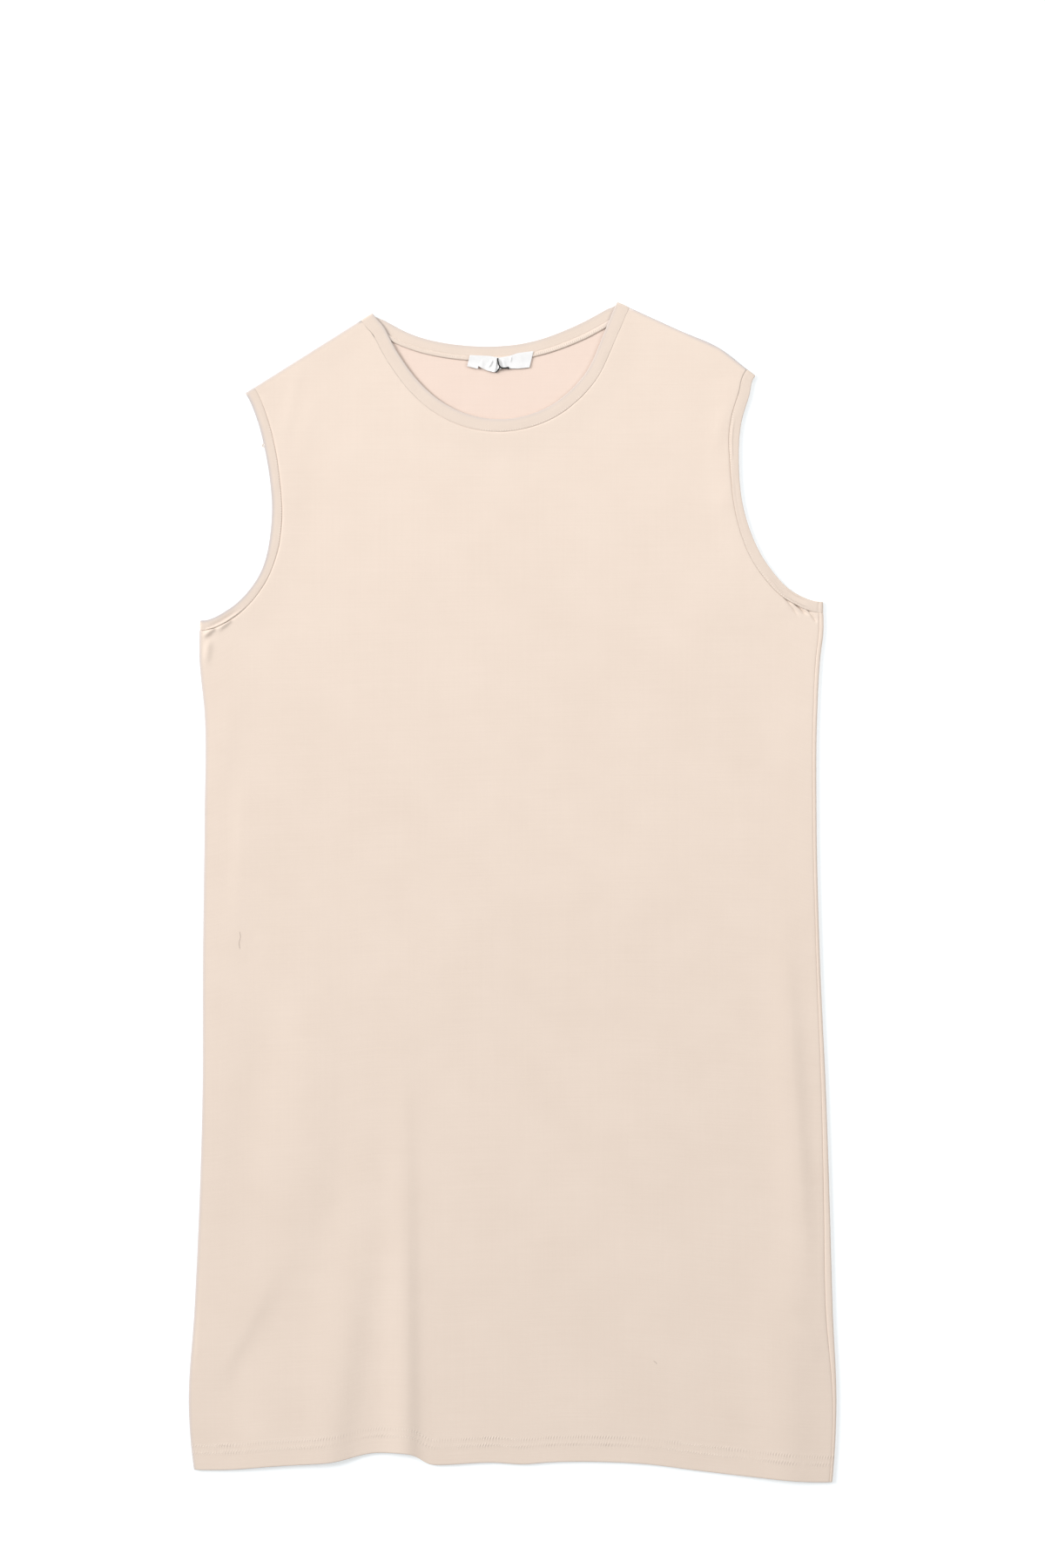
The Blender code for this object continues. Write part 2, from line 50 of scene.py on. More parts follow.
# %% [markdown]
# ## How thick the cloth lies
# Fine jersey is about 0.7 mm thick. Every folded edge of the garment is 3.1 mm high, so a
# fold's axis lies half that height up and as far inside the outline. Between the edges the
# front sinks a little towards the back.

# %% Levels of the cloth
WALL = 0.7  # one layer of jersey
LAYER = 0.6  # one layer of a band, pressed flatter
BAND = 1.3  # a band: two layers with a little air between them
HEIGHT = 3.1  # of every folded edge
REACH = HEIGHT / 2  # from a fold's axis to its outermost line
TURN = REACH - WALL / 2  # radius of a panel's middle in a fold
BAND_TURN = REACH - BAND / 2
UPPER = HEIGHT - WALL / 2  # middle of the front by its edges
LOWER = WALL / 2  # middle of the back
SINK = 0.55  # how far the front sinks between its edges
NECKBAND_WIDTH, ARMBAND_WIDTH = 10.5, 8.0
SEAM_GAP = 0.1  # between two cut edges that a seam joins
UNDERLAP = 1.5  # how far the front goes on under a fold before its seam with the back
print(f"A panel turns on a radius of {TURN:.2f} mm, a band on {BAND_TURN:.2f} mm")

# %% [markdown]
# ## Smooth curves through few points
# An outline is a short table of places. A cubic Hermite curve goes through all of them, and
# at each one it heads the way from the place before to the place after.


# %% Small helpers
def unit(vectors):
    """Each vector over its own length."""
    return vectors / np.linalg.norm(vectors, axis=-1, keepdims=True)


def right_of(directions):
    """Directions turned a quarter turn clockwise, seen from above: (y, -x)."""
    return np.stack((directions[..., 1], -directions[..., 0]), axis=-1)


def mixed(first, last, share):
    """(1 - share) * first + share * last."""
    return (1 - share) * first + share * last


def bell(away, width, power=2):
    """exp(-|away / width|^power): 1 in the middle and nothing far away."""
    return np.exp(-(np.abs(away / width) ** power))


def smooth_step(value):
    """3t^2 - 2t^3, with t kept between 0 and 1."""
    value = np.clip(value, 0, 1)
    return value * value * (3 - 2 * value)


def run_along(line):
    """Length of a line up to each of its points: the running sum of its steps."""
    return np.append(0, np.cumsum(np.linalg.norm(np.diff(line, axis=0), axis=1)))


def read_rows(at, keys, rows):
    """Rows that belong to rising keys, read straight between them."""
    return np.stack([np.interp(at, keys, column) for column in rows.T], axis=1)


def placed(line, runs):
    """Points of a line at the given lengths along it."""
    return read_rows(runs, run_along(line), line)


def at_shares(share, values):
    """Values given at even shares of a line, read straight between them."""
    return np.interp(share, np.linspace(0, 1, len(values)), values)


print("Half way up a smooth step:", float(smooth_step(0.5)))


# %% Curves, spacings and distances
def hermite(knots, values, slopes, at):
    """The cubic with the given values and slopes at the knots, read at some places.

    Between two knots it is a smooth step from value to value, plus
    span * t * (1 - t) * ((1 - t) * first slope - t * last slope).
    """
    index = np.clip(np.searchsorted(knots, at, side="right") - 1, 0, len(knots) - 2)
    widen = (...,) + (None,) * (values.ndim - 1)
    span = (knots[index + 1] - knots[index])[widen]
    part = (at - knots[index])[widen] / span
    lean = mixed(slopes[index], -slopes[index + 1], part)
    return (mixed(values[index], values[index + 1], smooth_step(part))
            + span * part * (1 - part) * lean)


def read_table(rows, number, at):
    """Column number of a table, read smoothly between its rows, whose first column rises."""
    keys, values = np.array(rows).T[[0, number]]
    slopes = np.gradient(values, keys, edge_order=2)
    return hermite(keys, values, slopes, np.clip(at, keys[0], keys[-1]))


def curve(points, ends=None, count=900):
    """A close row of points on a smooth curve. ends are the ways it leaves and arrives."""
    points = np.array(points, dtype=float)
    knots = run_along(points)
    slopes = np.gradient(points, knots, axis=0)
    if ends:
        slopes[0], slopes[-1] = ends
    return hermite(knots, points, slopes, np.linspace(0, knots[-1], count))


def graded(length, spacings, count=None):
    """Places from 0 to length, as far apart as a table of (place, spacing) says.

    The running sum of step / spacing numbers the places, and it is read backwards.
    """
    line = np.linspace(0, length, 4001)
    spacing = np.interp(line, *np.array(spacings).T)
    number = np.append(0, np.cumsum(np.diff(line) * 2 / (spacing[1:] + spacing[:-1])))
    count = count or math.ceil(number[-1])
    return np.interp(np.linspace(0, number[-1], count + 1), number, line)


def nearest(x, y, line):
    """Distance from each point to a line, and how far along it its nearest place is.

    On each step that place is the foot of the perpendicular, kept within the step.
    """
    step = np.diff(line, axis=0)
    length = np.linalg.norm(step, axis=1)
    from_x, from_y = x[..., None] - line[:-1, 0], y[..., None] - line[:-1, 1]
    part = np.clip((from_x * step[:, 0] + from_y * step[:, 1]) / length**2, 0, 1)
    square = (from_x - part * step[:, 0]) ** 2 + (from_y - part * step[:, 1]) ** 2
    best = square.argmin(axis=-1)[..., None]
    part, square = (np.take_along_axis(each, best, -1) for each in (part, square))
    run = run_along(line)[best] + part * length[best]
    return np.sqrt(square)[..., 0], run[..., 0]


print("A smooth curve has", len(curve(((0, 0), (1, 2)))), "points")

# %% [markdown]
# ## The outline as the garment lies
# It hangs a little wider towards the hem, the sides wander, and the right side seam lies
# just inside the right edge, because the back rolls over it. The hem lifts in one wave where
# the deepest crease runs out.

# %% Sides and hem
SIDES = (  # height, left edge, right edge, and how far inside it the side seam lies
    (-473.5, -254.5, 257, 2.2), (-417, -260, 260.2, 2.6), (-334, -255.4, 257.2, 5.6),
    (-249, -251.5, 254.8, 4.7), (-165, -249.1, 252, 3.6), (-54, -248.7, 247, 2.7),
    (58, -247.4, 244.3, 2.7), (142, -247.3, 244.8, 3), (190, -251.6, 247.5, 3.4),
    (208, -251.5, 249.7, 3.5), (226, -250.4, 249.5, 3.5))
HEM_LINE = (
    (-260, -463.6), (-232, -463.9), (-190, -460.8), (-150, -458.7), (-55, -459.9),
    (-15, -458), (8.5, -459.4), (28, -457.9), (70, -457.4), (108, -459.3), (147, -464.2),
    (193, -469.5), (243, -473.7), (262, -473.7))
WAVE_X, WAVE_RISE = -98, 9.3
WAVE_SIDES = ((34.5, 2.75), (26.1, 5))  # width and steepness of its left and of its right


def hem_y(x):
    """The hem line plus one wave, a bell with its own width on each side."""
    sides = [bell(x - WAVE_X, *side) for side in WAVE_SIDES]
    return read_table(HEM_LINE, 1, x) + WAVE_RISE * np.where(x < WAVE_X, *sides)


def left_axis(y):
    """The left fold's axis: the left edge plus REACH."""
    return read_table(SIDES, 1, y) + REACH


def right_axis(y):
    """The right fold's axis: the right edge minus REACH."""
    return read_table(SIDES, 2, y) - REACH


def seam_depth(y):
    """How far inside the right fold's axis the side seam lies."""
    return read_table(SIDES, 3, y) - REACH


print(f"The hem's wave lifts it to {hem_y(np.array(WAVE_X)):.1f} mm")

# %% [markdown]
# ## Neck, armholes and shoulders
# Each opening's free edge runs from one folded edge to another, and leaves it square. The
# front neck is a scoop and the back neck is shallow, so the inside of the back shows. A
# band sewn by hand and eye is never evenly wide, so its width is given along its length.

# %% Openings
SHOULDERS = (((-112.7, 464.5), (-214.4, 400.5)),
             ((84.4, 473.5), (134.8, 450.5), (166.3, 436.5), (195, 414.5)))
FRONT_NECK = ((-103.2, 452.6), (-98.3, 443), (-88.2, 426), (-76, 410), (-60.2, 395.5),
              (-44.5, 386.4), (-9.5, 379.1), (27.3, 388.2), (57.1, 413.7), (75.3, 452.2))
BACK_NECK = ((-103.4, 458.7), (-82.6, 448), (-37.5, 438.4), (11.5, 440.7), (53.6, 455.7),
             (75.5, 467.4))
ARMHOLES = (((-228.2, 226.4), (-204.8, 251.2), (-193.1, 300), (-195.4, 337),
             (-198.9, 356.4), (-204, 376.5)),
            ((225.8, 240.2), (205.2, 261.5), (186.2, 304), (181.5, 345), (183.8, 378),
             (189.8, 398)))
UNDERARMS = (217.5, 232.6)  # heights of the left and of the right underarm
NECK_WIDTHS = (  # of the band in front and behind, at even shares of its free edge
    (10.5, 10.2, 10.2, 10.2, 10.3, 10.3, 9.9, 9.6, 9.5, 9.5, 9.7, 10.2, 10.5),
    (10.5, 10.9, 10.6, 10.5, 10.6, 10.6, 10.6, 11, 11.3, 11.6, 11.8, 11.5, 10.5))
ARM_WIDTHS = (  # of the left and of the right armhole's band, from underarm to shoulder
    (7.9, 8, 7.6, 7.2, 7.2, 8.2, 8.3, 7.8, 7.8, 8.2, 8.2, 8.1, 8),
    (8.8, 7.6, 8, 8.2, 8, 7.3, 6.6, 6.2, 6.7, 8, 8.3, 8.4, 8))
WAYS = (1, -1)  # an armhole's way round, and where its shoulder's outside lies


def heading(line):
    """The way a line runs at each of its points: its slope over its own length."""
    return unit(np.gradient(line, axis=0))


def shoulder_end(index, end):
    """A shoulder's fold at one end: a point of its axis, and the way out of the garment."""
    points = np.array(SHOULDERS[index])
    outward = WAYS[index] * right_of(heading(points)[end])
    return points[end] - REACH * outward, outward


def edge_between(first, points, last):
    """A free edge from the axis of one fold to that of another, square to both."""
    return curve((first[0], *points, last[0]), (-first[1], last[1]))


def seam_beside(line, widths, side):
    """A panel's cut edge: the free edge moved sideways by the band's width and the gap."""
    run = run_along(line)
    wide = at_shares(run / run[-1], widths) + SEAM_GAP
    return line + side * wide[:, None] * right_of(heading(line))


def shoulder_line(index, inset):
    """A panel's edge along a shoulder, from the armhole band to the neckband."""
    (tip, tip_out), (neck, neck_out) = tip_folds[index], neck_folds[index]
    leave, arrive = WAYS[index] * right_of(tip_out), WAYS[index] * right_of(neck_out)
    start = tip + (ARMBAND_WIDTH + SEAM_GAP) * leave - inset * tip_out
    stop = neck - (NECKBAND_WIDTH + SEAM_GAP) * arrive - inset * neck_out
    inward = (REACH + inset) * unit(tip_out + neck_out)
    inner = [np.array(point) - inward for point in SHOULDERS[index][-2:0:-1]]
    return curve((start, *inner, stop), (leave, arrive))


neck_folds, tip_folds = ([shoulder_end(k, end) for k in (0, 1)] for end in (0, -1))
underarm_folds = [(np.array((axis(y), y)), np.array((-way, 0.0)))
                  for axis, y, way in zip((left_axis, right_axis), UNDERARMS, WAYS)]
necks = [edge_between(neck_folds[0], points, neck_folds[1]) for points in (FRONT_NECK, BACK_NECK)]
armholes = [edge_between(underarm_folds[k], ARMHOLES[k], tip_folds[k]) for k in (0, 1)]
neck_seams = [seam_beside(necks[k], NECK_WIDTHS[k], 1) for k in (0, 1)]
arm_seams = [seam_beside(armholes[k], ARM_WIDTHS[k], WAYS[k]) for k in (0, 1)]
for title, line in zip(("Front neck", "Back neck", "Left armhole", "Right armhole"),
                       (*necks, *armholes)):
    print(f"{title}: {run_along(line)[-1]:.0f} mm along its free edge")

# %% [markdown]
# ## Creases
# Cloth that was folded and then laid down keeps soft ridges and troughs. They are listed
# one by one: each is a line with its own height, its own width on either side, and ends
# that fade at their own pace. Across it the height falls as a bell curve. The back has
# similar ones, which show on its underside.

# %% Crease tables and the shape of one crease
FRONT_CREASES = (
    # upper end, lower end, bow, width on the left and on the right, rise, fading shares
    (-87.5, -53, -84.5, -492, 0, 15.5, 7.8, 2.7, 0.95, 0),
    (-116, -220, -151, -492, 0, 24, 14, 2.2, 0.7, 0),
    (-152, -30, -186, -345, 0, 28, 27, 0.75, 0.4, 0.4),
    (-180, -280, -250, -408, 3, 32, 9, 1.1, 0.45, 0.4),
    (-184, -350, -196, -492, 0, 30, 40, 1.4, 0.35, 0),
    (-124, -130, -122, -290, 0, 12, 15, 0.45, 0.5, 0.5),
    (-121, -150, -175, -372, 0, 14, 15, -0.45, 0.5, 0.35),
    (-186, -50, -226, -270, 0, 15, 17, -0.45, 0.4, 0.4),
    (-211, 120, -224, -70, 0, 8, 26, 0.5, 0.35, 0.45),
    (-217, 190, -240, 60, 0, 12, 9, 0.25, 0.5, 0.5),
    (213, 20, 238, -345, 0, 18, 9.5, 1.95, 0.5, 0.35),
    (223, -262, 219, -492, 0, 27, 20, 1.8, 0.35, 0),
    (221, -344, 251, -374, 0, 7, 6, 0.6, 0.4, 0.3),
    (36, -380, 92, -448, 4, 16, 11, 0.45, 0.5, 0.4),
    (150, -396, 196, -430, 0, 12, 12, 0.4, 0.5, 0.5),
    (-40, 60, -66, -150, 6, 34, 30, 0.45, 0.5, 0.5),
    (88, -60, 132, -330, -8, 40, 34, 0.55, 0.5, 0.5),
    (166, 300, 128, 120, 5, 20, 26, 0.45, 0.5, 0.5),
    (-60, 320, -96, 170, -4, 24, 20, 0.3, 0.5, 0.5),
    (-170, 428, -185, 348, 0, 5.5, 5, 0.45, 0.4, 0.5),
    (-158, 415, -176, 325, 0, 8, 6.5, 0.35, 0.5, 0.5),
    (-190, 321, -164, 309, 0, 4, 5, 0.3, 0.25, 0.55),
    (-192, 296, -170, 276, 0, 5, 6, 0.25, 0.25, 0.6),
    (174, 400, 160, 345, 0, 6, 5, 0.4, 0.5, 0.5),
    (178, 330, 158, 292, 0, 6, 7, 0.3, 0.4, 0.6),
    # small ones that fan out from the right underarm, and then from the left one
    (217.6, 237.4, 230.4, 220.6, 0, 0.8, 1.3, -1.15, 0.05, 0.3),
    (222, 235, 236.6, 220.6, 0.6, 0.8, 1.3, -1.2, 0.05, 0.3),
    (227, 230.6, 239, 220.4, 0.3, 0.8, 1.2, -1, 0.05, 0.35),
    (236.4, 227.4, 245, 215, 0, 0.8, 1.2, -1.2, 0.05, 0.3),
    (-226.6, 219, -238.5, 208.5, 0, 2, 2.2, 1.6, 0.1, 0.55),
    (-239.4, 213, -250, 204, 0.6, 1.8, 2.2, 1.7, 0.1, 0.5),
    (-243, 204, -245.5, 180, -0.8, 3, 3.2, 1, 0.3, 0.5),
)
BACK_CREASES = (
    (-88, -90, -87, -492, 0, 14, 10, 1, 0.7, 0),
    (-126, -280, -150, -492, 0, 18, 14, 0.9, 0.6, 0),
    (-150, 40, -196, -300, 5, 22, 18, 0.6, 0.4, 0.4),
    (214, 60, 230, -330, 0, 20, 12, 1.2, 0.4, 0.4),
    (222, -270, 216, -492, 0, 18, 14, 0.8, 0.4, 0),
    (96, -120, 120, -420, -6, 16, 22, 0.9, 0.5, 0.35),
    (20, -200, 2, -492, 4, 12, 18, 0.7, 0.6, 0),
    (-40, 150, -70, -80, -5, 26, 18, 0.5, 0.5, 0.5),
    (60, 330, 84, 60, 6, 22, 16, 0.7, 0.5, 0.5),
    (-120, 400, -60, 250, 6, 12, 16, 0.6, 0.5, 0.5),
    (130, 410, 168, 300, 0, 9, 12, 0.5, 0.45, 0.5),
    (-176, 410, -184, 300, 0, 7, 9, 0.45, 0.5, 0.5),
    (-228, 205, -160, 120, 5, 6, 8, 0.5, 0.3, 0.6),
    (226, 215, 150, 140, -5, 8, 6, 0.5, 0.3, 0.6),
    (-206, 60, -222, -190, 0, 10, 14, 0.6, 0.4, 0.4),
)


def crease_rise(x, y, creases):
    """Sum over the creases of rise * bell across the line * fade along it.

    across is positive to the viewer's right. bow bends the line sideways by
    4 * bow * t * (1 - t), t being the share of its length.
    """
    total = np.zeros(np.shape(x))
    for x_top, y_top, x_low, y_low, bow, left, right, rise, *fades in creases:
        run_x, run_y = x_low - x_top, y_low - y_top
        length = math.hypot(run_x, run_y)
        along = ((x - x_top) * run_x + (y - y_top) * run_y) / length**2
        across = ((y - y_top) * run_x - (x - x_top) * run_y) / length
        across = across - 4 * bow * np.clip(along * (1 - along), 0, 1)
        for inside, fade in zip((along, 1 - along), fades):
            rise = rise * smooth_step(inside / max(fade, 0.001))
        total += rise * bell(across, np.where(across < 0, left, right))
    return total


print(len(FRONT_CREASES), "creases on the front,", len(BACK_CREASES), "on the back")

# %% [markdown]
# ## Puckers along a seam
# A sewing machine feeds two layers unevenly, so the cloth beside a seam is gathered in
# small waves that no two stitches share. Sines whose lengths don't divide each other give
# such a wave without repeating, and it dies away a finger's width from the seam.

# %% Height of the front and of the back
DITCH = 0.7  # width of the dip into a seam
SIDE_SETTLE, HEM_SETTLE, SEAM_SETTLE = 45, 70, 24  # widths over which the front sinks
FRONT_SEWN = (  # each seam, and how deep the cloth dips into it at even shares of its length
    (neck_seams[0][::9], (0, 0, 0, 0.04, 0.1, 0.2, 0.38, 0.45, 0.48, 0.44, 0.25, 0.08, 0)),
    (arm_seams[0][::9],
     (0.5, 0.5, 0.35, 0.25, 0.22, 0.25, 0.3, 0.25, 0.22, 0.25, 0.2, 0.1, 0.05)),
    (arm_seams[1][::9],
     (0.3, 0.5, 0.4, 0.2, 0.12, 0.15, 0.25, 0.38, 0.42, 0.28, 0.25, 0.15, 0.05)))
BACK_SEWN = [(line[::9], (0.2, 0.2)) for line in (neck_seams[1], *arm_seams)]


def pucker(run, away, reach=9):
    """Waves along a seam: three sines added, times a bell across the seam."""
    wave = np.sin(run / 1.37) + 0.8 * np.sin(run / 2.13 + 1.7) + 0.7 * np.sin(run / 3.71 + 0.4)
    return wave * (0.55 + 0.45 * np.sin(run / 17.3 + 2)) * bell(away, reach)


def beside_seams(x, y, sewn, waves, dip):
    """Puckers and a ditch along each sewn edge, and the distance to the nearest one."""
    rise, near = 0, np.inf
    for line, depths in sewn:
        away, run = nearest(x, y, line)
        depth = at_shares(run / run_along(line)[-1], depths)
        rise = rise + waves * pucker(run, away) + dip * depth * bell(away, DITCH)
        near = np.minimum(near, away)
    return rise, near


def front_z(x, y, above_hem):
    """Middle of the front's wall.

    It is UPPER by every edge and on the hem and lower between them, and has creases, and
    puckers and a ditch beside each sewn edge.
    """
    at_seam = right_axis(y) - seam_depth(y) - x
    side = np.minimum(x - left_axis(y), at_seam)
    rise, near = beside_seams(x, y, FRONT_SEWN, 0.05, -1)
    for index in (0, 1):
        near = np.minimum(near, nearest(x, y, shoulder_line(index, 0)[::60])[0])
    low = smooth_step(side / SIDE_SETTLE) * smooth_step((above_hem - 14) / HEM_SETTLE)
    low = np.minimum(low, smooth_step(near / SEAM_SETTLE))
    creases = crease_rise(x, y, FRONT_CREASES) * smooth_step(side / 4 + 0.12)
    rise = rise + 0.03 * pucker(x, above_hem - 16, 6) - 0.35 * bell(at_seam, DITCH)
    return UPPER - SINK * low + creases + rise


def back_z(x, y, _above_hem):
    """Middle of the back's wall: flat on the floor but for creases, puckers and ditches."""
    side = np.minimum(x - left_axis(y) - UNDERLAP, right_axis(y) - x)
    creases = crease_rise(x, y, BACK_CREASES) * smooth_step(side / 12)
    return LOWER + 0.05 * len(BACK_SEWN) + creases + beside_seams(x, y, BACK_SEWN, 0.02, 1)[0]


print(f"Deepest pucker: {np.abs(0.05 * pucker(np.arange(400), 0)).max():.2f} mm")

# %% [markdown]
# ## A panel's plan
# From the hem to the underarms a panel is a grid between its two sides. Above them it is a
# Coons patch: the surface that blends four edges, here both armholes, the row between the
# underarms, and the top with its shoulders and neck. Rows and columns stand close together
# only where a seam or a small wrinkle needs them.

# %% Plan of a panel
CORNER_REACH = 30  # the armholes' level start belongs to the body
BODY_HEIGHT = 683
HEM_RADIUS = 0.38  # of the fold at the hem
HEM_DEPTH = 21  # how far the hem is turned up inside
width = right_axis(0) - left_axis(0)
across_shares = graded(width, (
    (0, 0.7), (32, 0.9), (40, 1.8), (54, 5.2), (125, 5.2), (145, 3.4), (175, 3.4), (200, 5.2),
    (width - 54, 5.2), (width - 40, 1.8), (width - 32, 0.8), (width, 0.55))) / width
corners = [int(np.searchsorted(across_shares, share))
           for share in (CORNER_REACH / width, 1 - CORNER_REACH / width)]
middle = slice(corners[0], corners[1] + 1)
shoulder_columns = (corners[1] - corners[0]) // 4
body_rows = graded(BODY_HEIGHT, ((0, 0.9), (HEM_DEPTH + 3, 1.3), (45, 5.6), (640, 5.6),
                                 (663, 1.1), (BODY_HEIGHT, 0.6)))
hem_rows = int(np.searchsorted(body_rows, HEM_DEPTH))
yoke_rows = graded(1, ((0, 0.005), (0.08, 0.006), (0.16, 0.022), (0.9, 0.018), (0.96, 0.004),
                       (1, 0.0022)))


def body_plan(bounds, seams):
    """The places from hem to underarm, and how far up both armholes they reach.

    The top row follows the level start of one armhole, goes straight across, and follows
    the other. A point's height lies between hem and top by its row's share, and its place
    between both sides by its column's share. Each needs the other, so they take turns.
    """
    path, reached = [], []
    for seam, corner, way in zip(seams, corners, WAYS):
        part = seam[: int(np.argmax(way * seam[:, 0])) + 1]
        y = seam[0, 1]
        for _ in range(6):
            x = mixed(*bounds(y), across_shares[corner])
            y = np.interp(way * x, way * part[:, 0], part[:, 1])
        path.append(np.vstack((part[way * part[:, 0] < way * x], (x, y)))[::way])
        reached.append(np.interp(way * x, way * part[:, 0], run_along(part)))
    top = np.vstack(path).T
    x = left_axis(0) + across_shares * width
    for _ in range(5):
        y = mixed(hem_y(x) + HEM_RADIUS, np.interp(x, *top), (body_rows / BODY_HEIGHT)[:, None])
        x = mixed(*bounds(y), across_shares)
    return np.stack((x, y), axis=-1), reached


def coons(left, right, base, top):
    """Sides mixed + levels mixed - corner points mixed: a surface between four edges."""
    share = across_shares[middle]
    share = ((share - share[0]) / (share[-1] - share[0]))[:, None]
    up = yoke_rows[:, None, None]
    ends = mixed(mixed(base[0], base[-1], share), mixed(top[0], top[-1], share), up)
    return mixed(left[:, None], right[:, None], share) + mixed(base, top, up) - ends


def trimmed(line, start=0.0, end=0.0):
    """A line without its first and last few millimetres."""
    return placed(line, np.linspace(start, run_along(line)[-1] - end, len(line)))


def panel_top(seam, inset):
    """The upper edge of a panel: left shoulder, neck and right shoulder, at the columns."""
    spacing = ((0, 0.9), (8, 1.4), (24, 4), (200, 4))
    left, right = (placed(line, graded(run_along(line)[-1], spacing, shoulder_columns))
                   for line in (shoulder_line(0, inset), shoulder_line(1, inset)))
    neck, columns = trimmed(seam, inset, inset), corners[1] - corners[0] - 2 * shoulder_columns
    neck = placed(neck, np.linspace(0, run_along(neck)[-1], columns + 1))
    return np.vstack((left[:-1], neck[:-1], right[::-1]))


def panel(left, right, top, bounds, height):
    """Both grids of a panel: its body, and its yoke above the underarms."""
    body, reached = body_plan(bounds, (left, right))
    sides = [placed(line, mixed(start, run_along(line)[-1], yoke_rows))
             for line, start in zip((left, right), reached)]
    plans = body, coons(*sides, body[-1, middle], top)
    body, yoke = (np.dstack((plan, height(plan[..., 0], plan[..., 1], above)))
                  for plan, above in zip(plans, (body_rows[:, None], BODY_HEIGHT)))
    body[-1, middle] = yoke[0]
    return body, yoke


print(len(across_shares), "columns,", len(body_rows), "rows in the body,", len(yoke_rows),
      "in the yoke")

# %% [markdown]
# ## Folds and the hem
# At a folded edge the wall turns half round the fold's axis. At the hem the cloth turns up
# inside, so its inner layer follows the outer one at a constant distance along the normal.

# %% Round a fold, and up inside the hem
TAIL = np.array((0.35, 0.7, 1))  # shares of the way past a fold
HALF_TURN = np.linspace(0, math.pi, 7)[:, None, None]
HEM_LEVELS = np.concatenate((-body_rows[1:hem_rows][::-1] - 2, -np.linspace(0, 2, 7)[:0:-1],
                             body_rows))


def fold_columns(points, outward, past, climb):
    """Points carried half a turn round a fold, and then past it inwards.

    place = point + radius * sin(turn) * outward, and height = axis - climb * radius *
    cos(turn), with climb 1 from the bottom to the top and -1 the other way.
    """
    turn = np.linspace(0, math.pi, 11)[:, None, None]
    z = REACH - climb * TURN * np.cos(turn) + 0 * points[:, :1]
    fold = np.concatenate((points[:, :2] + TURN * np.sin(turn) * outward, z), axis=-1)
    tail = np.repeat(fold[-1:], 3, axis=0)
    tail[..., :2] -= (TAIL[:, None] * np.reshape(past, (1, -1)))[..., None] * outward
    tail[-1, :, 2] -= climb * 0.25
    return np.concatenate((fold, tail))[1:]


def outside_of(grid, side):
    """Outward normals: side * the cross product of the steps along columns and rows."""
    return side * unit(np.cross(np.gradient(grid, axis=1), np.gradient(grid, axis=0)))


def with_hem(grid, side):
    """The grid with its hem: the lowest row turned half round and carried up inside."""
    normal = outside_of(grid, side)
    level, lift = 1 - np.cos(HALF_TURN[1:]), np.sin(HALF_TURN[1:])
    fold = grid[0] - HEM_RADIUS * (level * normal[0] + lift * unit(grid[1] - grid[0]))
    inner = (grid - 2 * HEM_RADIUS * normal)[1:hem_rows]
    return np.concatenate((inner[::-1], fold[::-1], grid))


print("The hem is turned up over", hem_rows, "rows of the grid")

# %% [markdown]
# ## From grids to a sheet with a wall
# Neighbouring grids share their border, so their double points are merged. The map "grain"
# holds millimetres across and along the knit, as metres, and "hem" holds the place along
# the hem and the height above it, so a pattern can follow the cloth round its folds.


# %% Mesh helpers
WELD = 0.00002  # metres: points that lie closer together become one


def add_object(name, data):
    """An object in the scene that shows some data."""
    made = bpy.data.objects.new(name, data)
    bpy.context.scene.collection.objects.link(made)
    return made


def new_piece(name, points, faces, maps=None):
    """A mesh object from points in millimetres. maps holds a value for each face corner."""
    mesh = bpy.data.meshes.new(name)
    mesh.from_pydata((np.array(points) / 1000).tolist(), [], faces)
    for title, values in (maps or {}).items():
        layer = mesh.uv_layers.new(name=title)
        layer.data.foreach_set("uv", (values / 1000).ravel())
    mesh.shade_smooth()
    return add_object(name, mesh)


def grid_faces(rows, columns, first, closed=False):
    """Corner numbers of a grid's faces, and of the same corners in its map."""
    here = np.arange(rows if closed else rows - 1)[:, None] * columns + np.arange(columns - 1)
    above = (here + columns) % (rows * columns)
    corners, on_map = (np.stack((here, here + 1, row + 1, row), axis=-1).reshape(-1, 4)
                       for row in (above, here + columns))
    return corners + first, on_map


def sheet_piece(name, grids, maps, wall, closed=False, inside=0):
    """One welded sheet from grids of points and their maps. What lies highest faces up.

    Solidify gives it its wall, evenly to both sides, and inside is the material's step
    for its inner side.
    """
    faces, on_maps, first = [], [], 0
    for grid in grids:
        corners, on_map = grid_faces(*grid.shape[:2], first, closed)
        faces.append(corners)
        on_maps.append(on_map)
        first += grid.shape[0] * grid.shape[1]
    maps = {title: np.concatenate([part.reshape(-1, 2)[on_map]
                                   for part, on_map in zip(parts, on_maps)])
            for title, parts in maps.items()}
    points = np.concatenate([grid.reshape(-1, 3) for grid in grids])
    piece = new_piece(name, points, np.concatenate(faces).tolist(), maps)
    work = bmesh.new()
    work.from_mesh(piece.data)
    bmesh.ops.remove_doubles(work, verts=work.verts, dist=WELD)
    bmesh.ops.recalc_face_normals(work, faces=work.faces)
    high = 0.8 * HEIGHT / 1000
    if sum(f.normal.z for f in work.faces if f.calc_center_median().z > high) < 0:
        bmesh.ops.reverse_faces(work, faces=work.faces)
    work.to_mesh(piece.data)
    work.free()
    solidify = piece.modifiers.new("Wall", "SOLIDIFY")
    solidify.thickness, solidify.offset = wall / 1000, 0
    solidify.material_offset = inside
    print(name, "has", len(piece.data.polygons), "faces in its sheet")
    return piece


